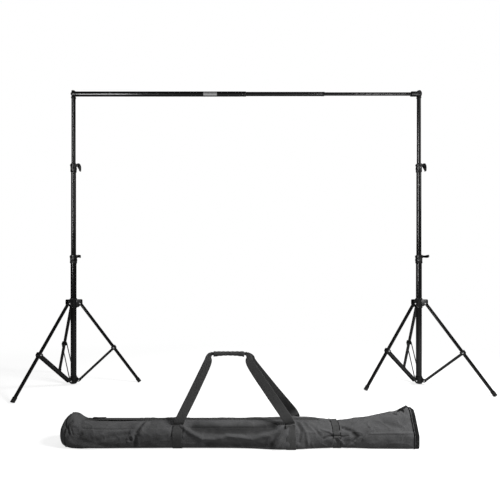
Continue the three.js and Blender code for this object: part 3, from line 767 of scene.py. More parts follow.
def crossed_ribs(shell, depth, low, high):
    """Where the surface is near the shell's radius, it sinks by depth except along the ribs."""

    def relief(angle, height, radius):
        up = (height - low) / (high - low)
        inside = np.clip((up - 0.06) / 0.1, 0, 1) * np.clip((0.94 - up) / 0.1, 0, 1)
        return -depth * inside * (radius > shell - 1.2) * (1 - rib_share(angle, up))

    return relief


def flared_boss(radius, start, end, flare=3.0):
    """A round boss along X whose root widens on a quarter circle, like a moulded fillet."""
    a = np.linspace(0, np.pi / 2, 6)
    root = np.stack([radius + flare * (1 - np.sin(a)), start + flare * (1 - np.cos(a))], 1)
    reach = [0] * 8 + [0.8, 0]
    outline = [[0, start - 2], [radius + flare, start - 2]] + root.tolist() + [[radius, end], [0, end]]
    return turned(outline, 40, reach).moved(to_x)


def clamp_casting(fixed, sliding):
    """The casting with its boss, and the nut and screw end that show at the back."""
    shell, mouth, top = fixed + 4.7, sliding + 2.6, 54
    socket, bore, step = fixed + slide_gap, sliding + slide_gap, casting_seat + slide_gap
    profile = [[socket, 0], [fixed + 2.6, 0], [shell, 9.7], [shell, 32.4], [mouth + 2.6, 47.5],
               [mouth, top], [bore, top], [bore, step], [socket, step]]
    rounding = [0.3, 1.2, 2.4, 3, 2.4, 1.4, 0.4, 0, 0]
    barrel = turned(profile, 96, rounding, 5, 1.2, crossed_ribs(shell, 1.6, ribs_low, ribs_high))
    x, y, z = barrel.points.T
    ribs = rib_share(np.arctan2(y, x), (z - ribs_low) / (ribs_high - ribs_low))
    # The ribs' tops take a full share, so that the nylon's lighter edge colour lies along them as a
    # painted highlight.
    barrel.worn = np.maximum(barrel.worn, ribs * (np.hypot(x, y) > fixed + 2))
    boss = flared_boss(9, sliding + 3.4, fixed + 7).moved(shift=(0, 0, screw_height))
    nut = turned([[0, 0], [6.4, 0], [6.4, 4.2], [0, 4.2]], 6, 0.0)
    screw_end = rod(2.6, -2, 5.4, 20, 0.6)
    rear = all_moved([nut, screw_end], turn_y(-math.pi / 2), (-sliding - 3.4, 0, screw_height))
    return [barrel, boss] + rear


# %% Clamp lever
lever_reach, lever_drop, lever_width = 24.0, 38.0, 12.0
lever_outline = np.array([
    [0, 0.2], [0.3, 0.3], [0.62, 0.29], [0.86, 0.1], [0.98, -0.22], [1, -0.6], [0.93, -0.96],
    [0.8, -1.03], [0.62, -0.95], [0.61, -0.6], [0.58, -0.3], [0.46, -0.09], [0.2, -0.1], [0, -0.2],
])


def clamp_lever(fixed, sliding):
    """A hooked arm that widens into a thumb pad, with a round hub, thumb ribs and a hex screw."""
    start = fixed + 7.3
    outline = flowing(lever_outline * [lever_reach, lever_drop] + [start, 0], 5)
    arm = plate(outline, lever_width, 2.2, 6)
    arm.points[:, 1] *= 0.8 + 0.75 * np.clip((arm.points[:, 0] - start - 9) / 13, 0, 1)
    hub = rod(7.5, start, start + 8, 40, 1.2).moved(to_x)
    screw = rod(4, sliding + 0.6, start + 6, 24, 0.3).moved(to_x)
    head = turned([[0, 6], [4.6, 6], [4.6, 10.4], [0, 10.4]], 6, 0.0).moved(to_x, (start, 0, 0))
    rib = rod(0.9, -4.2, 4.2, 14, 0.7).moved(to_y)
    ribs = [rib.moved(shift=(start + 24.6, 0, height)) for height in np.linspace(-20.8, -34.4, 4)]
    return [arm, hub, screw, head] + ribs


for side, place in column_at.items():
    for level, top, fixed, sliding, turn in (
        ("lower", lower_top, lower_radius, middle_radius, -math.pi / 2),
        ("upper", middle_top, middle_radius, upper_radius, 0),
    ):
        seat = place + [0, 0, top - casting_seat]
        casting = all_moved(clamp_casting(fixed, sliding), None, seat)
        lever = all_moved(clamp_lever(fixed, sliding), turn_x(turn), seat + [0, 0, screw_height])
        stand_in(f"{side}_{level}_lock", casting, "black_casting")
        stand_in(f"{side}_{level}_lever", lever, "black_plastic")
print("clamps made")

# %% [markdown]
# ## Leg collar, knob and hub
# The collar slides on the column and carries the legs in three forked ears. A screw with a lobed
# knob holds it. The hub closes the column's foot and carries the braces on three lugs.
# All of them are plates and lathe forms, turned round the column in steps of a third of a turn.

# %% Sizes of the folding base
pivot_height, pivot_radius = 518.0, 42.0
collar_outer, ear_plate, ear_half, knob_drop = 21.5, 3.5, 11.75, 14.0
strap_radius, strap_plate, strap_gap = 7.5, 2.5, 28.0
foot_radius, foot_height = 412.0, 3.0
leg_radius, brace_at = 9.5, 355.0
hub_radius, hub_pivot_radius, hub_pivot_height = 21.0, 35.0, 28.0
lug_radius, lug_plate, lug_half, lug_core = 9.0, 5.4, 11.0, 18.0
bracket_width, boot_wall = 27.4, 2.0
leg_angle = math.atan2(foot_radius - pivot_radius, pivot_height - foot_height)
leg_length = math.hypot(foot_radius - pivot_radius, pivot_height - foot_height)
brace_x = pivot_radius + brace_at * math.sin(leg_angle) - hub_pivot_radius
brace_z = pivot_height - brace_at * math.cos(leg_angle) - hub_pivot_height
brace_length, brace_angle = math.hypot(brace_x, brace_z), math.atan2(brace_x, brace_z)
thirds = {letter: index * 2 * math.pi / 3 for index, letter in enumerate("abc")}
lean_degrees = math.degrees(leg_angle)
print("leg", round(leg_length, 1), "brace", round(brace_length, 1), "lean", round(lean_degrees, 1))


def rivet(half_span, radius=3.0, head=5.0, rise=1.8):
    """A pin along Y with a domed head past each end of the span."""
    face = half_span - 0.3
    upper = [[radius, face], [head, face], [head * 0.9, half_span + rise * 0.5],
             [head * 0.55, half_span + rise * 0.93], [0, half_span + rise]]
    lower = [[r, -z] for r, z in upper[::-1]]
    return turned(lower + upper, 32, 0.35, 3).moved(to_y)


# %% Leg collar
def leg_collar(knob):
    """A sleeve with a rim at each end, three ears of two cheeks and a lid, and the screw's boss."""
    rim, waist, bore = collar_outer, collar_outer - 0.7, lower_radius + 0.5
    low, high = -28, 33
    sleeve = [[bore, low], [rim, low], [rim, low + 4], [waist, low + 5], [waist, high - 5],
              [rim, high - 4], [rim, high], [bore, high]]
    parts = [turned(sleeve, 64, 0.45)]
    root, end, top = collar_outer - ear_plate / 2, 9.5, 27
    outline = [[root, top], [root, -20], [pivot_radius - 6, -end]]
    outline += arc((pivot_radius, 0), end, -84, 0, 8) + [[pivot_radius + end, top]]
    softened = eased(outline, [0.5, 0.5, 4] + [0.3] * 8 + [9], 6)[0]
    for angle in thirds.values():
        cheeks = [plate(softened, ear_plate, 0.7).moved(shift=(0, y, 0)) for y in (-ear_half, ear_half)]
        lid = block(root, pivot_radius + 4, 2 * ear_half + 2, top - 4, top, 1.4)
        stiffener = block(root, pivot_radius - 15, 2 * ear_half, -15, -12, 0.7)
        parts += all_moved(cheeks + [lid, stiffener], turn_z(angle))
    parts.append(flared_boss(8, rim - 0.6, rim + 8, 2.4).moved(turn_z(knob), (0, 0, -knob_drop)))
    return all_moved(parts, None, (0, 0, pivot_height))


def collar_pins():
    """The three plated pins that the legs hang on, through the cheeks of the collar."""
    pin = rivet(ear_half + ear_plate / 2).moved(shift=(pivot_radius, 0, pivot_height))
    return [pin.moved(turn_z(angle)) for angle in thirds.values()]


def collar_knob():
    """A knob whose radius is 13 - 2.4 * (1 - cos(3 * angle)) / 2, on its screw along X."""
    start = collar_outer + 8 + slide_gap
    a = np.linspace(0, 2 * np.pi, 72, endpoint=False)
    radius = 13 - 2.4 * (1 - np.cos(3 * a)) / 2
    grip = plate(np.stack([radius * np.cos(a), radius * np.sin(a)], 1), 12, 2.6, 7)
    screw = rod(4, lower_radius + 0.6, start + 6, 24, 0.3).moved(to_x)
    face = turned([[0, 0], [6.2, 0], [6.2, 1.0], [5.2, 1.5], [0, 1.7]], 36, 0.3)
    face = face.moved(to_x, (start + 11.6, 0, 0))
    return [grip.moved(turn_z(-math.pi / 2), (start + 6, 0, 0)), screw, face]


# %% Hub
def column_hub():
    """A cup under the column, and three lugs with a web above each."""
    bore, rim = lower_radius + slide_gap, hub_radius - 0.8
    profile = [[0, 6], [hub_radius - 5, 6], [hub_radius, 11], [hub_radius, 50], [rim, 51],
               [rim, 54], [bore, 54], [bore, 13.7], [0, 13.7]]
    cup = turned(profile, 64, [0, 1, 2.6, 0.5, 0.3, 0.7, 0.4, 0.3, 0])
    root = hub_radius - 2
    outline = [[root, lug_radius], [root, -lug_radius]]
    outline += arc((hub_pivot_radius, 0), lug_radius, -90, 90, 18)
    parts = [cup]
    for angle in thirds.values():
        cheek = plate(outline, lug_plate, 0.9).moved(shift=(0, 0, hub_pivot_height))
        cheeks = [cheek.moved(shift=(0, y, 0)) for y in (-lug_half, lug_half)]
        core = plate(np.array(outline) * [0.92, 0.72] + [1.6, 0], lug_core, 0.9)
        core = core.moved(shift=(0, 0, hub_pivot_height))
        web = block(root, hub_radius + 5, 6, 30, 46, 1.0)
        parts += all_moved(cheeks + [core, web], turn_z(angle))
    return parts


# %% Make collars, knobs and hubs
for side, place in column_at.items():
    base = turn_z(base_turn[side])
    collar_body = body_of_node[f"{side}_leg_collar"]
    pins = all_moved(collar_pins(), base, place)
    knob = all_moved(collar_knob(), turn_z(knob_turn[side]), (0, 0, pivot_height - knob_drop))
    collar = all_moved(leg_collar(knob_turn[side]), base, place)
    stand_in(f"{side}_leg_collar", collar, "black_casting")
    show(f"{side}_collar_pins", pins, "zip_metal", collar_body, finish=rivet_zinc)
    stand_in(f"{side}_collar_knob", all_moved(knob, base, place), "black_plastic")
    stand_in(f"{side}_hub", all_moved(column_hub(), base, place), "black_casting")
print("collars, knobs and hubs made")

# %% [markdown]
# ## Legs and braces
# A leg is a thin tube with a plug in its top and a rubber boot at its foot. The boot's sole is cut
# level by the floor. The formula for that is short: every point below the floor is lifted to it.
# The braces are pairs of flat steel straps with rounded ends, riveted through the hub's lugs.


# %% Legs, boots, brackets and braces
def leg_tube():
    """A thin tube from its pivot at height zero down to the boot, and the plug in its top."""
    tube = pipe(leg_radius, 1.3, -(leg_length - 5.3), 10, 48)
    stem, cap = leg_radius - 1.4, leg_radius - 0.5
    profile = [[0, 4], [stem, 4], [stem, 10], [cap, 10], [cap - 0.1, 11.2], [cap - 2.5, 12.2], [0, 12.6]]
    return [tube, turned(profile, 40, 0.5)]


def leg_boot():
    """A cup round the leg's end with three grooves."""
    inner, foot = leg_radius + slide_gap, -leg_length
    outer = inner + boot_wall

    def rings(angle, height, radius):
        """Grooves 0.7 deep, each a bell curve of the height."""
        marks = sum(np.exp(-((height - foot - up) / 1.0) ** 2) for up in (9, 13.5, 18))
        return -0.7 * marks * (radius > outer - 0.6)

    profile = [[0, foot], [outer, foot], [outer, foot + 26], [outer - 0.8, foot + 30], [inner, foot + 30],
               [inner, foot + 5], [0, foot + 5]]
    return [turned(profile, 64, [0, 1.4, 1, 0.5, 0.3, 0.2, 0], 4, 0.9, rings)]


def leg_bracket():
    """A moulded clip round the leg: half a circle below, square above, flat cheeks for the straps."""
    across = leg_radius + 3.5
    outline = arc((0, 0), across, 180, 360, 20) + [[across, 13], [-across, 13]]
    shape = eased(outline, [0.2] * 20 + [3, 3], 4)[0]
    body = plate(shape, bracket_width, 1.6, 6)
    bead = plate(shape * 1.045, 5, 1.2, 4)
    return [body, bead]


def strap_brace():
    """Two straps, each a long slot shape with a pressed bead along its outer face."""

    def slot(radius, inset, count, thickness, edge, offset):
        """The same slot shape on both sides, with its ends inset from the pivots."""
        low, high = (0, inset), (0, brace_length - inset)
        outline = arc(low, radius, 180, 360, count) + arc(high, radius, 0, 180, count)
        return [plate(outline, thickness, edge).moved(shift=(0, y, 0)) for y in (-offset, offset)]

    middle = (strap_gap + strap_plate) / 2
    return slot(strap_radius, 0, 16, strap_plate, 0.55, middle) + slot(2.0, 20, 8, 1.2, 0.5, middle + 1.0)


def brace_rivets():
    """The plated rivet at the hub, and a head on each strap where it meets the leg's bracket."""
    face = strap_gap / 2 + strap_plate
    heads = [
        dome(4.6, 1.9).moved(turn_x(way * math.pi / 2), (0, -way * face, brace_length)) for way in (-1, 1)
    ]
    return heads + [rivet(face)]


# %% Make legs and braces
lean, brace_lean = turn_y(-leg_angle), turn_y(brace_angle)
pivot = np.array([pivot_radius, 0, pivot_height])
lug_at = np.array([hub_pivot_radius, 0, hub_pivot_height])
joint_at = pivot + [brace_at * math.sin(leg_angle), 0, -brace_at * math.cos(leg_angle)]
leg = all_moved(leg_tube(), lean, pivot)
boot = all_moved(leg_boot(), lean, pivot)
boot[0].points[:, 2] = np.maximum(boot[0].points[:, 2], 0)
bracket = all_moved(leg_bracket(), lean, joint_at)
brace = all_moved(strap_brace(), brace_lean, lug_at)
rivets = all_moved(brace_rivets(), brace_lean, lug_at)
for side, place in column_at.items():
    for letter, angle in thirds.items():
        limb = turn_z(base_turn[side] + angle)
        stand_in(f"{side}_leg_{letter}", all_moved(leg, limb, place), "black_tube")
        stand_in(f"{side}_foot_{letter}", all_moved(boot, limb, place), "black_rubber")
        stand_in(f"{side}_leg_bracket_{letter}", all_moved(bracket, limb, place), "black_plastic")
        stand_in(f"{side}_brace_{letter}", all_moved(brace, limb, place), "strap_steel")
        heads, brace_body = all_moved(rivets, limb, place), body_of_node[f"{side}_brace_{letter}"]
        show(f"{side}_brace_{letter}_rivets", heads, "zip_metal", brace_body, finish=rivet_zinc)
print("legs and braces made")

# %% [markdown]
# ## Studs, cap nuts and the crossbar
# The bar hangs by an upright eye at each end on the stud of a column. The left end is as thick as
# the bar's main tube, so the bar seems to run straight through to a rounded end under a low cap.
# The right end is an eye with a sleeve that takes the thinnest tube. Two rings dress the joints.


# %% Studs and caps
def column_stud():
    """A plug in the tube, a flange, and the pin that goes through the bar's eye."""
    foot, seat = upper_top - 40, upper_top + slide_gap
    shoulder, tip = eye_bottom - slide_gap, eye_top + 2.7
    profile = [[0, foot], [10.6, foot], [10.6, seat], [15, seat], [15, seat + 5], [12, shoulder],
               [8, shoulder], [8, tip], [0, tip]]
    return [turned(profile, 56, [0, 0.3, 0.2, 0.9, 0.9, 0.8, 0.5, 0.5, 0])]


def cap_nut():
    """A fluted nut with a domed top and a blind bore."""
    low, high = eye_top + slide_gap, eye_top + 6

    def flutes(angle, height, radius):
        """Eighteen hollows round the nut, each as deep as half of 1 less a cosine."""
        return -0.55 * (0.5 - 0.5 * np.cos(18 * angle)) * (radius > 12.4) * (height < high - 4)

    crown = [[0, high], [4.5, high - 0.3], [8.5, high - 1.2], [11.4, high - 2.6], [13, high - 4.4]]
    profile = crown + [[13, low], [8.3, low], [8.3, eye_top + 3], [0, eye_top + 3]]
    return [turned(profile, 108, [0, 1.6, 1.6, 1.2, 0.8, 0.4, 0.2, 0.1, 0], 4, 1.0, flutes)]


for side, place in column_at.items():
    stand_in(f"{side}_top_stud", all_moved(column_stud(), None, place), "strap_steel")
    stand_in(f"{side}_cap_nut", all_moved(cap_nut(), None, place), "black_plastic")
print("studs and caps made")

# %% Ends of the crossbar
eye_bore, eye_half, eye_rim = 8.3, 16.0, 17.0
bar_from = column_at["left"] + [0, 0, bar_height]
bar_to = column_at["right"] + [0, 0, bar_height]
stand_gap = (bar_to - bar_from)[0]


def bar_end_radius(angle, height):
    """How far the bar's rounded end reaches from the stud's axis. With w the half width of a round
    bar at this height, it is w / |sin| beside the axis, an ellipse on the outer side, and never
    less than the collar round the bore."""
    bar, reach, back, collar = 15.2, 17.2, 13.0, 11.6
    half = np.sqrt(np.maximum(bar**2 - height**2, 0.01))
    side, along = np.abs(np.sin(angle)), np.cos(angle)
    outer = 1 / np.sqrt((along / (reach * half / bar)) ** 2 + (side / half) ** 2)
    inner = np.minimum(half / np.maximum(side, 1e-6), back / np.maximum(along, 1e-6))
    return np.maximum(np.where(along < 0, outer, inner), collar)


def rounded_end(angle, height, radius):
    """Scales the wall between the bore and the rim so that the rim meets the bar's rounded end."""
    return (radius - eye_bore) * ((bar_end_radius(angle, height) - eye_bore) / (eye_rim - eye_bore) - 1)


eye = [[eye_bore, -eye_half], [eye_rim, -eye_half], [eye_rim, eye_half], [eye_bore, eye_half]]
left_end = [
    turned(eye, 120, [0.4, 1.0, 1.0, 0.4], 4, 0.7, rounded_end),
    rod(15, 9, 17, 64, 0.3).moved(to_x), rod(13.2, 17, 59, 48, 0.8).moved(to_x),
]
half_ball = [[eye_bore, -eye_half], [12.6, -eye_half], [17, -10.5]]
ball_line = half_ball + [[18.5, 0]] + [[r, -z] for r, z in half_ball[::-1]]
ball = turned(ball_line, 80, [0.4, 1.4, 5, 5, 5, 1.4, 0.4], 7)
sleeve = turned([[10.3, 0], [15.5, 0], [15.5, 36], [13, 40], [10.3, 40]], 64, [0.4, 2.6, 5, 2, 0.2], 6)
throat = turned([[0, 0], [14.9, 0], [14.9, 10], [0, 10]], 64, [0, 0.3, 0.3, 0])
right_end = [
    ball, sleeve.moved(to_x, (-50.5, 0, 0)), throat.moved(to_x, (-18.6, 0, 0)),
    dome(4.2, 1.3).moved(turn_x(math.pi / 2), (0, -18.1, 0)),
]
stand_in("bar_left_fitting", all_moved(left_end, None, bar_from), "black_casting")
stand_in("bar_right_fitting", all_moved(right_end, None, bar_to), "black_casting")
print("crossbar's ends made, columns", round(stand_gap, 1), "mm apart")

# %% Tubes and rings of the crossbar
bar_line = bar_from * [0, 1, 1]
for node, radius in (("bar_main_tube", 15.0), ("bar_middle_tube", 12.5), ("bar_inner_tube", 10.0)):
    low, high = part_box(node)
    tube = pipe(radius, tube_wall, low[0] * 1000, high[0] * 1000).moved(to_x, bar_line)
    stand_in(node, [tube], "black_tube")


def ring(outer, sliding, length):
    """A plastic ring round the sliding tube, with two shallow grooves."""

    def grooves(angle, height, radius):
        """Two grooves 0.6 deep, each a bell curve of the height."""
        marks = sum(np.exp(-((height - length * share) / 0.8) ** 2) for share in (0.28, 0.72))
        return -0.6 * marks * (radius > outer - 0.5)

    bore, slope = sliding + slide_gap, 1.5
    profile = [[bore, 0], [outer - slope, 0], [outer, slope], [outer, length - slope],
               [outer - slope, length], [bore, length]]
    return turned(profile, 72, 0.5, 4, 0.7, grooves).moved(to_x)


for node, sizes in (("bar_main_bush", (15.0, 12.5, 30.0)), ("bar_middle_bush", (13.0, 10.0, 20.0))):
    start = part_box(node)[0][0] * 1000
    stand_in(node, [ring(*sizes).moved(shift=bar_line + [start, 0, 0])], "black_plastic")
print("crossbar made")

# %% [markdown]
# ## The small plate on the bar
# The picture has a small silver plate on the main tube. Here it is bare metal. It is a thin curved
# patch: a grid over an angle and a length, at a radius just above the paint.

# %% Blank plate
plate_start, plate_length, plate_rows, plate_columns = 832.0, 86.0, 40, 24
plate_middle, plate_half_turn = math.radians(-102), math.radians(56)
plate_radii = (15.32, 14.9)
along_share = np.linspace(0, 1, plate_rows)[:, None]
round_share = np.linspace(-1, 1, plate_columns)[None, :]
corner_ease = 1 - np.clip((np.abs(2 * along_share - 1) - 0.97) / 0.03, 0, 1) ** 2 * 0.06
bearing = plate_middle + plate_half_turn * round_share * corner_ease
x = plate_start + plate_length * along_share + 0 * round_share
outer, inner = (np.stack([x, r * np.sin(bearing), r * np.cos(bearing)], -1) for r in plate_radii)
across = np.concatenate([outer, inner[:, ::-1]], 1)
spread = np.linspace(0, 34, across.shape[1] + 1)
steps = np.linspace(0, plate_length, plate_rows), spread
plate_flat = np.stack(np.meshgrid(*steps, indexing="ij")[::-1], -1)
label = grid(across, plate_flat).outward().moved(shift=bar_from)
show("bar_blank_plate", [label], "zip_metal", "bar_main", finish=blank_plate, sharp=50)
print("plate made")

# %% [markdown]
# ## Cloth and webbing
# The bag is coated nylon in a plain weave, and its handles are ribbed webbing. The threads could be
# an image. Here two sines across the unrolled cloth make them: warp where sin(u) is high, weft where
# sin(v) is high. The same pattern drives the colour, the roughness and the relief.

# %% Coated cloth of the bag
cloth = Finish("bag_cloth")
at, unrolled = cloth.place(), cloth.flat()
wander = cloth.noise(at, 55.0, 2.0)
u, v, _ = cloth.parts(unrolled)
thread_pitch, rib_pitch, cord_pitch = 0.0016, 0.0030, 0.0042
warp, weft = (
    (way * (2 * math.pi / thread_pitch) + wander * 2.5).sine() * 0.5 + 0.5 for way in (u, v)
)
weave = warp.larger(weft)
slub = cloth.noise(cloth.stretched(unrolled, (40.0, 900.0, 1.0)), 1.0, 3.0)
patches = cloth.noise(at, 7.0, 4.0)
# The mesh's share is large where the bag's cloth sinks in a crease; blended towards near black, it is
# painted shade in the creases.
painted_crease_shade = cloth.attribute("worn")
cloth_colour = cloth.blend(patches.rise(0.3, 0.7), grey(0.064, (1.0, 1.0, 1.02)), grey(0.092, (1.0, 1.0, 1.02)))
cloth_colour = cloth.blend(slub.rise(0.45, 0.75) * 0.35, cloth_colour, grey(0.125))
cloth_colour = cloth.blend(painted_crease_shade * 0.7, cloth_colour, grey(0.012))
bag_cloth = cloth.close(
    base_color=cloth.blend((1 - weave) * 0.45, cloth_colour, grey(0.028)),
    roughness=0.66 + patches * 0.16 - weave * 0.06,
    specular_ior_level=0.25,
    normal=cloth.bump(weave, 0.00022, cloth.bump(cloth.noise(at, 120.0, 4.0, 0.6), 0.0011)),
)

# %% Ribbed webbing
webbing = Finish("bag_webbing")
at, unrolled = webbing.place(), webbing.flat()
u, v, _ = webbing.parts(unrolled)
rib = (v * (2 * math.pi / rib_pitch)).sine() * 0.5 + 0.5
cord_line = (u * (2 * math.pi / cord_pitch)).sine() * 0.5 + 0.5
fuzz = webbing.noise(at, 900.0, 3.0)
twill = rib * 0.65 + cord_line * 0.35
yarn = webbing.blend(twill, grey(0.017), grey(0.086))
bag_webbing = webbing.close(
    base_color=webbing.blend(fuzz.rise(0.55, 0.75) * 0.3, yarn, grey(0.10)),
    roughness=0.70 + twill * 0.14,
    normal=webbing.bump(twill + fuzz * 0.25, 0.0007),
)

# %% Black tape of the seams
tape = Finish("bag_seam_tape")
at = tape.place()
grosgrain = tape.noise(tape.stretched(at, (900.0, 260.0, 260.0)), 1.0, 3.0)
fray = tape.noise(at, 90.0, 4.0).rise(0.56, 0.70)
tape_colour = tape.blend(grosgrain, grey(0.006), grey(0.016))
bag_seam_tape = tape.close(
    base_color=tape.blend(fray * 0.5, tape_colour, grey(0.060)),
    roughness=0.66 + grosgrain * 0.16,
    normal=tape.bump(grosgrain + fray, 0.0006),
)
slot_finish["bag_cloth"] = bag_cloth
slot_finish["bag_webbing"] = bag_webbing
print("cloth finishes made")

# %% [markdown]
# ## Bag shell
# The empty bag lies on its base and has sunk in: a firm hood at the left end, a long slack middle
# and a taller right end, where the lid panel leans back from a straight fold. It is lofted: one
# cross-section, given a width and a height at places along the bag. Sculpting would do as well, but
# the loft keeps each point's place along the cloth and round it, and the creases, the straps and the
# weave all need those. Creases are written as soft lines on that unrolled cloth.

# %% Outline of the shell
bag_low, bag_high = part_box("bag_body")
bag_at = np.array([(column_at["left"][0] + column_at["right"][0]) / 2, centre_of("bag_body")[1], 0])
bag_left, bag_right = bag_low[0] * 1000 - bag_at[0], bag_high[0] * 1000 - bag_at[0]
base_half = 54.0
crest = 94.2
heights = np.array([
    [-738, 62], [-734, 78], [-727, 93], [-716, 107], [-704, 115], [-692, 117.5], [-680, 113], [-668, 102],
    [-657, 96], [-640, crest], [-300, crest], [0, crest], [280, crest], [318, 89], [340, 86],
    [380, 85.5], [407, 88], [450, 95], [520, 108], [580, 119.5], [610, 126], [630, 135], [646, 142.5],
    [656, 139], [669, 124],
])
half_widths = np.array([
    [-738, 26], [-734, 36], [-727, 45], [-712, 53], [-690, 60], [-660, 64], [-450, 66], [-260, 64],
    [0, 65], [285, 66], [320, 64], [353, 61], [390, 64], [447, 66], [540, 68], [600, 69], [640, 68.5],
    [660, 64], [669, 57],
])
bases = np.array([[-738, 40], [-731, 26], [-716, 10], [-704, 2.5], [-694, 0], [-600, 0], [669, 0]])
fold_height = 52.0
soft_half = [
    [0, 0], [0.45, 0], [0.8, 0], [0.95, 0.06], [1, 0.22], [0.995, 0.42], [0.95, 0.58], [0.83, 0.745],
    [0.64, 0.875], [0.42, 0.96], [0.2, 1], [0, 1],
]
folded_half = [
    [0, 0], [0.45, 0], [0.86, 0], [0.975, 0.04], [1, 0.16], [1, 0.3], [0.998, 0.38], [0.955, 0.425],
    [0.82, 0.545], [0.6, 0.74], [0.4, 0.90], [0.19, 1], [0, 1],
]
fold_share = 0.4
zip_stop, zip_stop_end = 290.0, 310.0


def smooth(x, low, high):
    """0 below low, 1 above high, and between them three times t squared less twice t cubed."""
    t = np.clip((x - low) / (high - low), 0, 1)
    return t * t * (3 - 2 * t)


def curve_at(knots, x):
    """A cubic through the knots, with the slope at each taken from its two neighbours."""
    slopes = np.gradient(knots[:, 1], knots[:, 0])
    i = np.clip(np.searchsorted(knots[:, 0], x) - 1, 0, len(knots) - 2)
    run = knots[i + 1, 0] - knots[i, 0]
    t = (x - knots[i, 0]) / run
    start = (2 * t**3 - 3 * t**2 + 1) * knots[i, 1] + (t**3 - 2 * t**2 + t) * run * slopes[i]
    end = (3 * t**2 - 2 * t**3) * knots[i + 1, 1] + (t**3 - t**2) * run * slopes[i + 1]
    return start + end


def even_ring(half, count):
    """The half section mirrored, rounded by a curve and cut into equal steps, from the middle of
    the base round by the front, and its girth in millimetres."""
    half = np.array(half, float)
    both = np.vstack([half * [-1, 1], (half * [1, 1])[-2:0:-1]])
    line = flowing(both, 10)
    real = np.vstack([line, line[:1]]) * [66, 95]
    run = np.concatenate([[0], np.cumsum(np.linalg.norm(np.diff(real, axis=0), axis=1))])
    even = np.linspace(0, run[-1], count, endpoint=False)
    loop = np.vstack([line, line[:1]])
    return np.stack([np.interp(even, run, loop[:, k]) for k in range(2)], 1), run[-1]


ring_count = 88
soft_ring, girth = even_ring(soft_half, ring_count)
folded_ring = even_ring(folded_half, ring_count)[0]
print("girth", round(girth), "mm")

# %% Loft the shell
body_rows = 268
body_x = np.linspace(bag_left, bag_right, body_rows)
end_shares = np.array([0.02, 0.3, 0.58, 0.84])
row_x = np.concatenate([np.full(4, bag_left), body_x, np.full(4, bag_right)])
row_share = np.concatenate([end_shares, np.ones(body_rows), end_shares[::-1]])
row_height = curve_at(heights, row_x)[:, None]
row_width = curve_at(half_widths, row_x)[:, None]
folded = smooth(row_x, 400, 490)[:, None, None]
section = soft_ring[None] * (1 - folded) + folded_ring[None] * folded
bulge = np.sqrt(np.clip(1 - row_share**2, 0, 1)) * 3.0
shell_x = row_x + np.where(row_x < 0, bulge, -bulge)
shell_y = section[..., 0] * row_width * row_share[:, None]
row_base = curve_at(bases, row_x)[:, None]
above = np.maximum(section[..., 1] - fold_share, 0) / (1 - fold_share)
by_fold = np.minimum(section[..., 1] / fold_share, 1) * fold_height + above * (row_height - fold_height)
by_share = row_base + section[..., 1] * (row_height - row_base)
belly_at, belly_length, belly_depth = 135.0, 105.0, 13.0
forward = belly_depth * np.exp(-(((row_x - belly_at) / belly_length) ** 2)) * row_share
front_low = (1 - smooth(section[..., 1], 0.1, 0.75)) * smooth(-section[..., 0], 0.3, 0.8)
shell_y -= forward[:, None] * front_low
full_z = by_share * (1 - folded[..., 0]) + by_fold * folded[..., 0]
middle_z = row_base + 0.42 * (row_height - row_base)
shell_z = (full_z - middle_z) * row_share[:, None] + middle_z
shell = np.stack([np.broadcast_to(shell_x[:, None], shell_y.shape), shell_y, shell_z], -1)
print("shell", shell.shape)

# %% [markdown]
# ## Creases
# Each crease is a line of places on the cloth: how far along the bag, and how far up the flank from
# its lower corner. The cloth rises or sinks by height * exp(-(distance / width) ** 2), where the
# distance is to the nearest stretch of the line. Their places follow the picture: a swag between the
# handles, folds that run to the right handle, a gathered star at the band, and the fold of the lid.

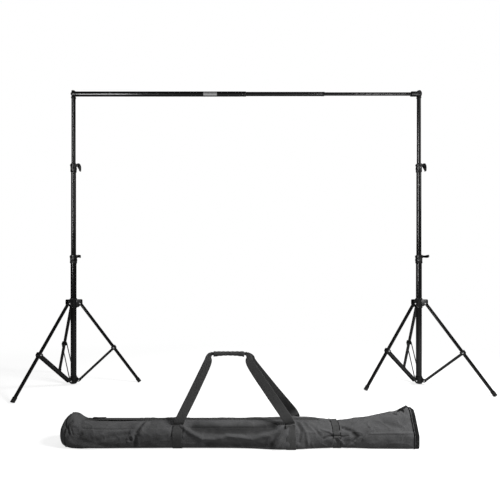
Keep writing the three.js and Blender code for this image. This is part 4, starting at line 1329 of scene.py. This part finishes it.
# %% Lines of the creases
# Each: height, width, and the line's places (along the bag, up the flank).
swag = [(165, 108), (130, 80), (93, 58), (62, 56), (20, 45), (-30, 54), (-75, 56), (-120, 44),
        (-169, 46), (-215, 68), (-256, 92)]
creases = [
    (5.0, 8, swag), (-6.5, 20, [(-205, 90), (-120, 78), (0, 78), (100, 90)]),
    (-2.5, 12, [(-150, 22), (0, 20), (90, 24)]), (-4.2, 7, [(170, 112), (158, 92), (113, 52), (84, 6)]),
    (2.8, 8, [(186, 104), (134, 50), (106, 4)]), (-5.5, 15, [(132, 112), (150, 108)]),
    (-2.2, 7, [(178, 96), (170, 60), (176, 20)]), (-5.2, 6, [(-402, 128), (-414, 104), (-428, 74)]),
    (3.0, 8, [(-388, 124), (-399, 96), (-410, 68)]),
    (2.2, 4, [(-459, 50), (-451, 60), (-440, 56), (-437, 43), (-446, 34), (-456, 38)]),
    (-3.0, 6, [(-448, 47), (-446, 46)]), (-2.8, 6, [(-430, 56), (-429, 30), (-433, 3)]),
    (3.6, 22, [(-400, 64), (-340, 72), (-275, 62)]), (1.8, 6, [(-418, 50), (-416, 20)]),
    (-1.6, 2.6, [(-640, 86), (-444, 86)]), (-1.2, 2.6, [(-400, 88), (-284, 88)]),
    (-1.2, 2.6, [(-236, 90), (150, 92)]), (-3.2, 5, [(-684, 94), (-702, 74), (-688, 52)]),
    (-2.4, 4, [(-668, 84), (-684, 72), (-674, 58)]), (2.6, 6, [(-710, 94), (-722, 70), (-706, 46)]),
    (-2.6, 8, [(-646, 60), (-640, 64)]), (1.9, 7, [(-590, 56), (-530, 74), (-470, 80)]),
    (-1.8, 7, [(-575, 42), (-510, 60), (-458, 68)]), (-2.0, 10, [(-650, 46), (-570, 26), (-500, 14)]),
    (1.6, 8, [(-700, 30), (-640, 22), (-560, 8)]), (2.6, 4, [(346, 62), (322, 76), (296, 82)]),
    (-3.0, 4, [(346, 62), (320, 58), (300, 48)]), (2.4, 4, [(346, 62), (334, 40), (326, 16)]),
    (-2.6, 4, [(346, 62), (352, 36), (350, 8)]), (2.6, 4, [(346, 62), (366, 42), (378, 26)]),
    (-2.8, 4, [(346, 62), (372, 56), (392, 62)]), (2.4, 4, [(346, 62), (370, 80), (384, 94)]),
    (-2.6, 4, [(346, 62), (344, 90), (340, 112)]), (-4.2, 8, [(380, 96), (412, 80), (430, 54), (414, 36)]),
    (2.4, 12, [(394, 60), (398, 56)]), (2.8, 3.6, [(386, 14), (402, 24), (420, 37)]),
    (2.8, 4.5, [(452, 40), (487, 73)]), (-2.2, 5, [(446, 52), (478, 84)]),
    (1.8, 3.6, [(478, 57), (560, 58), (655, 56)]), (-4.2, 6, [(590, 134), (596, 126)]),
    (-5.0, 8, [(616, 146), (628, 152)]), (-4.0, 8, [(655, 158), (668, 146)]),
    (-2.6, 6, [(196, 108), (212, 72), (204, 36)]), (2.6, 6, [(212, 106), (232, 68), (238, 26)]),
    (2.0, 6, [(236, 104), (268, 72)]), (-1.8, 6, [(250, 96), (286, 60)]),
    (-1.6, 9, [(540, 100), (600, 74), (640, 90)]), (-1.8, 5, [(-276, 104), (-292, 80), (-290, 60)]),
    (1.8, 5, [(-250, 104), (-238, 80), (-244, 56)]),
]


def crease_field(x, up):
    """The sum of all creases at the places x along the bag and up its flank."""
    total = np.zeros(x.shape)
    for height, width, line in creases:
        line = np.array(line, float)
        nearest = np.full(x.shape, 1e9)
        for (x0, u0), (x1, u1) in zip(line[:-1], line[1:]):
            dx, du = x1 - x0, u1 - u0
            t = np.clip(((x - x0) * dx + (up - u0) * du) / (dx * dx + du * du), 0, 1)
            nearest = np.minimum(nearest, (x - x0 - t * dx) ** 2 + (up - u0 - t * du) ** 2)
        total += height * np.exp(-nearest / width**2)
    return total


def ripples(x, up, wavelength, seed, count=9):
    """A sum of sines in directions picked by a seeded draw, between about -1 and 1."""
    draw = np.random.default_rng(seed)
    total = np.zeros(x.shape)
    for _ in range(count):
        heading, phase = draw.uniform(0, np.pi), draw.uniform(0, 2 * np.pi)
        rate = 2 * np.pi / (wavelength * draw.uniform(0.6, 1.6))
        total += np.sin(rate * (x * np.cos(heading) + up * np.sin(heading)) + phase)
    return total / count**0.5 / 1.4


def relief_of(x, around_cloth):
    """How far the cloth stands out or in, for the front and the rear flank together."""
    front, rear = around_cloth - base_half, girth - around_cloth - base_half
    face = smooth(front - rear, -14, 14)
    lines = (1 - face) * crease_field(x, front) + face * 0.8 * crease_field(-62 - x * 0.96, rear)
    broad = ripples(x, around_cloth * 1.4, 120, 3) * 1.5 + ripples(x, around_cloth, 46, 5) * 0.7
    sharp = 1 - np.abs(ripples(x * 0.8, around_cloth, 60, 11)) * 2.2
    return lines * 1.3 + broad * 1.15 + np.clip(sharp, 0, 1) ** 3 * 1.3


def normals_of(points):
    """The outward direction at each point of a grid that wraps round in its columns."""
    along = np.gradient(points, axis=0)
    across = (np.roll(points, -1, 1) - np.roll(points, 1, 1)) / 2
    normal = np.cross(across, along)
    normal /= np.maximum(np.linalg.norm(normal, axis=-1, keepdims=True), 1e-9)
    middle = points.mean(axis=1, keepdims=True)
    outward = np.sign(np.sum((points - middle) * normal, axis=(1, 2)))
    return normal * np.sign(outward.sum())


print("creases", len(creases))

# %% [markdown]
# ## Letting the cloth settle
# A loft is too even for cloth. The shell therefore settles for twenty frames as cloth with a little
# air in it. Its base, its ends and the strip under the zip are held. No point may move further than
# a cap, so the bag keeps the size of its solid. Then the grid is made four times as fine, and the
# creases are laid on it.

# %% Settle the shell
settle_cap, settle_frames = 7.0, 20
held_base, held_ends, held_zip = 4.0, 14.0, 17.0


def settled(points):
    """The points of the shell after twenty frames as cloth, moved no further than the cap."""
    flat_zero = np.zeros((points.shape[0], points.shape[1] + 1, 2))
    skin = grid(points, flat_zero).outward()
    mesh = bpy.data.meshes.new("bag_settling")
    corners = [face for block in skin.faces for face in block.tolist()]
    mesh.from_pydata((skin.points * 0.001).tolist(), [], corners)
    model = bpy.data.objects.new("bag_settling", mesh)
    bpy.context.scene.collection.objects.link(model)
    x, y, z = skin.points.T
    held = (z < held_base) | (x < bag_left + held_ends) | (x > bag_right - held_ends)
    held |= (z > crest - 3) & (np.abs(y) < held_zip) & (x < zip_stop_end)
    model.vertex_groups.new(name="held").add(np.flatnonzero(held).tolist(), 1.0, "REPLACE")
    layer = model.modifiers.new("settle", "CLOTH")
    layer.settings.quality = 6
    layer.settings.mass = 0.12
    layer.settings.tension_stiffness = 8
    layer.settings.compression_stiffness = 8
    layer.settings.bending_stiffness = 0.4
    layer.settings.use_pressure = True
    layer.settings.uniform_pressure_force = 4.0
    layer.settings.vertex_group_mass = "held"
    layer.settings.effector_weights.gravity = 0.0
    layer.point_cache.frame_start, layer.point_cache.frame_end = 1, settle_frames
    for moment in range(1, settle_frames + 1):
        bpy.context.scene.frame_set(moment)
    shown = model.evaluated_get(bpy.context.evaluated_depsgraph_get())
    after = np.empty(len(skin.points) * 3)
    shown.data.vertices.foreach_get("co", after)
    bpy.context.scene.frame_set(1)
    bpy.data.objects.remove(model)
    bpy.data.meshes.remove(mesh)
    step = after.reshape(-1, 3) * 1000 - skin.points
    length = np.linalg.norm(step, axis=1, keepdims=True)
    by_zip = (1 - smooth(np.abs(y), 15, 46)) * (z > crest * 0.7) * (1 - smooth(x, zip_stop, 330))
    step *= np.minimum(1, settle_cap * (1 - by_zip[:, None]) / np.maximum(length, 1e-9))
    print("cloth moved", round(float(length.max()), 1), "mm at most before the cap")
    return (skin.points + step).reshape(points.shape)


def finer(points, wrap):
    """A point put between each two along the first axis, on a cubic through four."""
    if wrap:
        before, after, beyond = (np.roll(points, shift, 0) for shift in (1, -1, -2))
    else:
        index = np.arange(len(points))
        last = len(points) - 1
        before, after, beyond = (points[np.clip(index + shift, 0, last)] for shift in (-1, 1, 2))
    between = (9 * (points + after) - before - beyond) / 16
    both = np.stack([points, between], 1).reshape(-1, *points.shape[1:])
    return both if wrap else both[:-1]


broad_shape = settled(shell)
fine_shell = finer(finer(broad_shape, False).swapaxes(0, 1), True).swapaxes(0, 1)
fine_around = np.arange(fine_shell.shape[1]) / fine_shell.shape[1] * girth
fine_share = finer(row_share[:, None], False)[:, 0]
print("fine shell", fine_shell.shape)

# %% Lay the creases and make the bag
x_at, around_at = fine_shell[..., 0], np.broadcast_to(fine_around, fine_shell.shape[:2])
calm = smooth(fine_shell[..., 2], 1, 10) * (fine_share[:, None] > 0.99)
calm = calm * smooth(x_at, bag_left, bag_left + 30) * smooth(-x_at, -bag_right, -bag_right + 24)
before_stop = 1 - smooth(x_at, zip_stop, zip_stop_end)
under_zip = (1 - smooth(np.abs(fine_shell[..., 1]), 14, 30)) * (fine_shell[..., 2] > 70)
under_zip = under_zip * before_stop * smooth(x_at, -668, -652)
lift = relief_of(x_at, around_at) * calm * (1 - under_zip)
bag_surface = fine_shell + normals_of(fine_shell) * lift[..., None]
bag_surface[..., 2] = np.maximum(bag_surface[..., 2], 0.2)
level = np.minimum(bag_surface[..., 2], crest)
bag_surface[..., 2] = bag_surface[..., 2] * (1 - under_zip) + level * under_zip
zip_run = smooth(x_at, -660, -645) * before_stop
bag_surface[..., 2] -= np.maximum(bag_surface[..., 2] - crest, 0) * zip_run
bag_surface[..., 0] = np.clip(bag_surface[..., 0], bag_left, bag_right)
bag_normals = normals_of(bag_surface)
# Painted shade: a share that grows where a crease sinks the cloth, and darkens the cloth's colour there.
painted_shade_share = np.clip(-lift / 6.0, 0, 1) ** 1.5 * 0.9

loop_around = np.append(fine_around, girth)
unrolled_x = fine_shell[:, :1, 0].mean(1)[:, None] + np.zeros(len(loop_around))
bag_flat = np.stack([unrolled_x, loop_around[None] + np.zeros((len(fine_shell), 1))], -1)
bag_skin = grid(bag_surface, bag_flat, worn=painted_shade_share).outward().moved(shift=bag_at)
stand_in("bag_body", [bag_skin], "bag_cloth", sharp=80)
print("bag", len(bag_skin.points), "points")


# %% Find a place on the bag
def on_bag(x, around_cloth, lift_by=0.0):
    """The place and outward direction on the bag at x along it and so far round its cloth."""
    rows = np.flatnonzero(fine_share > 0.99)
    r = np.interp(x, fine_shell[rows].mean(1)[:, 0], rows)
    c = (np.asarray(around_cloth) / girth * bag_surface.shape[1]) % bag_surface.shape[1]
    r0, c0 = np.floor(r).astype(int), np.floor(c).astype(int)
    fr, fc = (r - r0)[..., None], (c - c0)[..., None]
    r1, c1 = np.minimum(r0 + 1, len(bag_surface) - 1), (c0 + 1) % bag_surface.shape[1]

    def mix(values):
        """The value between four neighbours, by the shares of the way along and round."""
        low = values[r0, c0] * (1 - fc) + values[r0, c1] * fc
        high = values[r1, c0] * (1 - fc) + values[r1, c1] * fc
        return low * (1 - fr) + high * fr

    place, face = mix(bag_surface), mix(bag_normals)
    face /= np.linalg.norm(face, axis=-1, keepdims=True)
    return place + face * lift_by, face


# %% [markdown]
# ## Webbing
# A strap is a flat woven strip. Cloth simulation would lose so thin a piece, so it is modelled as a
# ribbon: a rounded, slightly cupped strip carried along stations, each with a place, the direction
# across it and a width.


# %% Ribbons
def open_curve(points, count):
    """Catmull-Rom through the stations, cut at even parameter steps."""
    p = np.asarray(points, float)
    p = np.vstack([2 * p[:1] - p[1:2], p, 2 * p[-1:] - p[-2:-1]])
    t = np.linspace(0, len(p) - 3 - 1e-9, count)
    i, f = np.floor(t).astype(int), (t % 1)[:, None]
    a, b, c, d = p[i], p[i + 1], p[i + 2], p[i + 3]
    return (2 * b + (c - a) * f + (2 * a - 5 * b + 4 * c - d) * f**2 + (3 * b - a - 3 * c + d) * f**3) / 2


def unit(v):
    """The vectors divided by their own lengths."""
    return v / np.maximum(np.linalg.norm(v, axis=-1, keepdims=True), 1e-9)


def ribbon(centres, sides, widths, thickness=2.2, wave=None):
    """A strip through the centres. Its section is a rounded rectangle across `sides`, and
    wave(station, place across from -1 to 1) lifts it."""
    along = unit(np.gradient(centres, axis=0))
    sides = unit(sides - along * np.sum(sides * along, axis=1, keepdims=True))
    faces = np.cross(sides, along)
    a = np.linspace(0, np.pi, 5)
    inner = np.linspace(-1, 1, 13)[1:-1]
    none, one = np.zeros(len(inner)), np.ones(len(inner))
    u = np.concatenate([inner, np.full(5, 1.0), -inner, np.full(5, -1.0)])
    bulge = np.concatenate([none, np.sin(a), none, -np.sin(a)])
    v = np.concatenate([one, np.cos(a), -one, -np.cos(a)])
    half = thickness / 2
    across = (widths[:, None] / 2 - half) * u + bulge * half
    lift = 0 if wave is None else wave(np.arange(len(centres))[:, None], u[None])
    rise = np.broadcast_to(v * half + lift, across.shape)
    points = centres[:, None] + across[..., None] * sides[:, None] + rise[..., None] * faces[:, None]
    run = np.concatenate([[0], np.cumsum(np.linalg.norm(np.diff(centres, axis=0), axis=1))])
    girdle = np.append(across.mean(0), across.mean(0)[0])
    flat = np.stack([girdle[None] + np.zeros((len(run), 1)), run[:, None] + np.zeros(len(girdle))], -1)
    return grid(points, flat).outward()


def strip(places, sideways, width, thickness, wave=None):
    """A ribbon of one width whose side points the same way all along, laid where the bag is."""
    count = len(places)
    made = ribbon(places, np.tile(sideways, (count, 1)), np.full(count, width), thickness, wave)
    return made.moved(shift=bag_at)


lengthwise, crosswise = [1.0, 0, 0], [0.0, 1, 0]
print("ribbons ready")

# %% Carry handles
grip_left, grip_right, grip_height = -132.0, -8.0, 358.0
shoulder_height, strap_rows = 313.0, 300
strap_width, strap_gathered = 38.0, 12.0
base_x = {"front": (-267.0, 173.0), "rear": (-267.0, 203.0)}
shoulder_x = {"front": (-160.0, 20.0), "rear": (-160.0, 32.0)}


def handle(which):
    """Up the flank, over to the grip, through it and down the other flank."""
    side = -1 if which == "front" else 1
    climb = np.array([3, 12, 24, 38, 52, 66, 80, 90, 97], float)
    cloth_at = climb + base_half if side < 0 else girth - base_half - climb
    pieces = []
    for end, grip_x in enumerate((grip_left, grip_right)):
        base, shoulder = base_x[which][end], shoulder_x[which][end]
        places, _ = on_bag(np.full(len(climb), base), cloth_at, 1.7)
        places[:, 0] = base
        leave = places[-1]
        out = np.sign(shoulder - grip_x)
        inward, rise = shoulder - base, shoulder_height - leave[2]
        free = np.array([
            [base + inward * 0.10, leave[1] + side, leave[2] + rise * 0.12],
            [base + inward * 0.50, side * 22.0, leave[2] + rise * 0.50],
            [shoulder, side * 8.5, shoulder_height],
            [shoulder * 0.72 + grip_x * 0.28, side * 3.2, 343.5],
            [grip_x + out * 11, side * 1.6, 356.4],
            [grip_x, side * 1.45, grip_height],
        ])
        full_width = [strap_width] * (len(climb) + 2)
        widths = full_width + [strap_width * k for k in (0.9, 0.62, 0.42)] + [strap_gathered]
        centres = np.vstack([places, free])
        bend = np.zeros((len(centres), 3))
        bend[:, 0] = 1
        upper = slice(len(climb) + 1, None)
        run = np.gradient(centres, axis=0)[upper]
        bend[upper] = np.stack([run[:, 2], 0 * run[:, 0], -run[:, 0]], 1)
        pieces.append([centres, unit(bend), np.array(widths, float)[:, None]])
    up, down = pieces[0], [values[::-1] for values in pieces[1]]
    down[1] = -down[1]
    stations = [np.concatenate(both) for both in zip(up, down)]
    centres, sides, widths = (open_curve(values, strap_rows) for values in stations)
    strap = ribbon(centres, sides, widths[:, 0])
    strap.points[:, 2] = np.maximum(strap.points[:, 2], 0.3)
    return strap


for which in ("front", "rear"):
    stand_in(f"bag_handle_{which}", [handle(which).moved(shift=bag_at)], "bag_webbing", sharp=60)
print("handles made")

# %% Wrapped grip
grip_rows, grip_columns = 70, 44
grip_x = np.linspace(grip_left, grip_right, grip_rows)
t = np.linspace(-1, 1, grip_rows)
angle = np.arange(grip_columns) * 2 * np.pi / grip_columns
lip = np.clip((np.abs(t) - 0.965) / 0.035, 0, 1) ** 2
upper = 9.2 - lip * 1.2
lower = 7.6 + 5.4 * np.abs(t) ** 2.2 - lip * 1.6
depth = 6.6 - lip * 1.0 + 0.4 * np.sin(9 * t)
power = 0.62
c, s = np.cos(angle), np.sin(angle)
round_y, round_z = np.sign(c) * np.abs(c) ** power, np.sign(s) * np.abs(s) ** power
tall = np.where(round_z[None] > 0, upper[:, None], lower[:, None])
flap = 0.9 * np.exp(-(((angle[None] - 4.1) % (2 * np.pi) - np.pi / 3) / 0.5) ** 4)
grip_points = np.stack([
    grip_x[:, None] + 0 * angle,
    round_y * (depth[:, None] + flap),
    grip_height + round_z * tall + 0.5 * np.sin(t[:, None] * 21 + angle * 2) * (1 - lip[:, None]),
], -1)
grip_flat = np.stack(np.meshgrid(grip_x, np.linspace(0, 50, grip_columns + 1), indexing="ij"), -1)
grip = grid(grip_points, grip_flat).outward().moved(shift=bag_at)
stand_in("bag_handle_grip", [grip], "bag_webbing", sharp=50)
print("grip made")

# %% [markdown]
# ## Zip, binding and band
# The zip's tape lies flat along the crest, with its teeth in a row and the slider on top. A binding
# covers the seam of each end panel, and one band of webbing goes round the bag near its right end.
# They are ribbons on the bag as well: their stations come from the bag's own surface.

# %% Zip tape, teeth and slider
tape_width, tooth_pitch = 23.0, 3.0
tape_from, tape_to, tape_rows, tooth_from = -648.0, 296.0, 240, -640.0
zip_x = np.linspace(tape_from, tape_to, tape_rows)
tape_places = np.stack([zip_x, 0 * zip_x, np.full(tape_rows, crest + 0.25)], 1)
zip_tape = strip(tape_places, crosswise, tape_width, 0.7)
tooth = block(-0.85, 0.85, 3.4, crest + 0.5, crest + 1.05, 0.2).moved(shift=bag_at)
tooth_x = np.arange(tooth_from, zip_stop, tooth_pitch)
teeth = [tooth.moved(shift=(x, 0.8 * (-1) ** k, 0)) for k, x in enumerate(tooth_x)]
show("bag_zip_tape", [zip_tape], "bag_webbing", "bag", finish=bag_webbing, sharp=60)
show("bag_zip_teeth", teeth, "black_plastic", "bag", finish=lever_nylon)
print("zip with", len(teeth), "teeth")

# %% Zip slider
slider_low = np.array(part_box("bag_zip_slider")[0]) * 1000
slider_at = np.array([slider_low[0], bag_at[1], slider_low[2]])
wedge_half = [[0, -3.6], [3, -5.3], [13, -5.5], [26, -3.4]]
wedge = np.array(wedge_half + [[x, -y] for x, y in wedge_half[::-1]])
tab_half = [[0, -2.2], [7, -2.6], [24, -3.6], [29, -3.4]]
tab_outline = tab_half + [[31, 0]] + [[x, -y] for x, y in tab_half[::-1]]
lying = turn_x(math.pi / 2)
slider = [
    plate(eased(wedge, 1.6)[0], 2.4, 0.6).moved(lying, (0, 0, 1.3)),
    plate(eased(wedge * 0.94 + [0.8, 0], 1.6)[0], 1.8, 0.7).moved(lying, (0, 0, 4.0)),
    block(4, 16, 2.6, 1.5, 6.7, 0.9),
    plate(eased(tab_outline, 1.4)[0], 1.6, 0.5).moved(lying, (24.5, 0, 4.8)),
    rod(1.1, -2.7, 2.7, 16, 0.4).moved(to_y, (25.5, 0, 4.8)),
    block(11, 27, 2.0, 4.2, 5.9, 0.7),
]
stand_in("bag_zip_slider", all_moved(slider, None, slider_at), "zip_metal")
print("slider at", slider_at.round(1).tolist())


# %% Bindings of the ends
hoop_rows, hoop_columns = 220, 14


def hoop(x, half_length, half_rise, lift_by):
    """A soft rim that follows the bag's girth at one place along it."""
    around_cloth = np.linspace(0, girth, hoop_rows, endpoint=False)
    places, faces = on_bag(np.full(hoop_rows, x), around_cloth, lift_by)
    faces = unit(faces * [0, 1, 1])
    a = np.arange(hoop_columns) * 2 * np.pi / hoop_columns
    round_section = np.cos(a)[None, :, None] * faces[:, None] * half_rise
    points = places[:, None] + round_section
    points[..., 0] += np.sin(a) * half_length
    points[..., 2] = np.maximum(points[..., 2], 0.15)
    steps = np.linspace(0, girth, hoop_rows + 1), np.linspace(0, 30, hoop_columns + 1)
    flat = np.stack(np.meshgrid(*steps, indexing="ij")[::-1], -1)
    return grid(points, flat, wrap_rows=True).outward().moved(shift=bag_at)


rims = [
    hoop(bag_right - 8, 8.5, 3.6, 1.2),
    hoop(bag_right - 19, 1.9, 2.4, 1.2),
    hoop(bag_left + 34, 1.6, 1.5, 0.5),
]
show("bag_end_binding", rims, "bag_webbing", "bag", finish=bag_seam_tape, sharp=80)
print("bindings made")

# %% Band with its hems, and the corner's tape
band_x, band_width, hem_width, band_rows = 353.0, 31.0, 3.0, 260
band_around = np.linspace(1, girth - 1, band_rows)
band_places, band_faces = on_bag(np.full(band_rows, band_x), band_around, 1.0)
hem_places = band_places + band_faces * 0.8
band_places[:, 2] = np.maximum(band_places[:, 2], 0.9)
hem_places[:, 2] = np.maximum(hem_places[:, 2], 1.0)
hem_x = (band_width - hem_width) / 2 + 0.2
hems = [strip(hem_places + [x, 0, 0], lengthwise, hem_width, 1.6) for x in (-hem_x, hem_x)]
band = strip(band_places, lengthwise, band_width, 1.6)
tab_rows, tab_width, tab_from, tab_to = 40, 40.0, 612.0, 662.0
tab_x = np.linspace(tab_from, tab_to, tab_rows)
tab_places, _ = on_bag(tab_x, np.full(tab_rows, girth / 2), 1.6)


def tab_lift(row, u):
    """A shallow trough across the tape: 0.028 times the square of 20 u, deeper towards the end."""
    return 0.028 * (20 * u) ** 2 * (0.7 + 0.3 * row / (tab_rows - 1))


corner_tab = strip(tab_places, crosswise, tab_width, 2.4, tab_lift)
show("bag_band_hems", hems, "bag_webbing", "bag", finish=bag_seam_tape, sharp=60)
show("bag_band", [band], "bag_webbing", "bag", finish=bag_webbing, sharp=60)
show("bag_corner_tab", [corner_tab], "bag_webbing", "bag", finish=bag_seam_tape, sharp=60)
print("band and corner tape made")

# %% [markdown]
# ## Lamps with flags
# In a studio a black card, called a flag, keeps a lamp's light off what it isn't for. Here each
# lamp that only draws a highlight names the pieces that it reaches.

# %% Say what the highlight lamps reach
def reaches(lamp, starts):
    """Lets a lamp light only the pieces whose names start in one of the given ways."""
    group = bpy.data.collections.new(lamp + "_reaches")
    for piece in bpy.data.objects:
        if piece.type == "MESH" and piece.name.startswith(starts):
            group.objects.link(piece)
    bpy.data.objects[lamp].light_linking.receiver_collection = group


sides = ("left_", "right_")
parts_of_column = ("lower", "middle", "upper", "leg_collar", "stud", "cap")
parts_of_foot = ("leg_a", "leg_b", "leg_c", "collar_pins", "brace")
reaches("lamp_columns", tuple(side + part for side in sides for part in parts_of_column))
parts_above = ("middle_tube", "upper_tube", "upper_lock")
reaches("lamp_columns_right", tuple(side + part for side in sides for part in parts_above))
reaches("lamp_legs", tuple(side + part for side in sides for part in parts_of_foot))
reaches("lamp_bar_left", ("left_cap", "left_stud", "bar_"))
reaches("lamp_bar_right", ("bar_",))
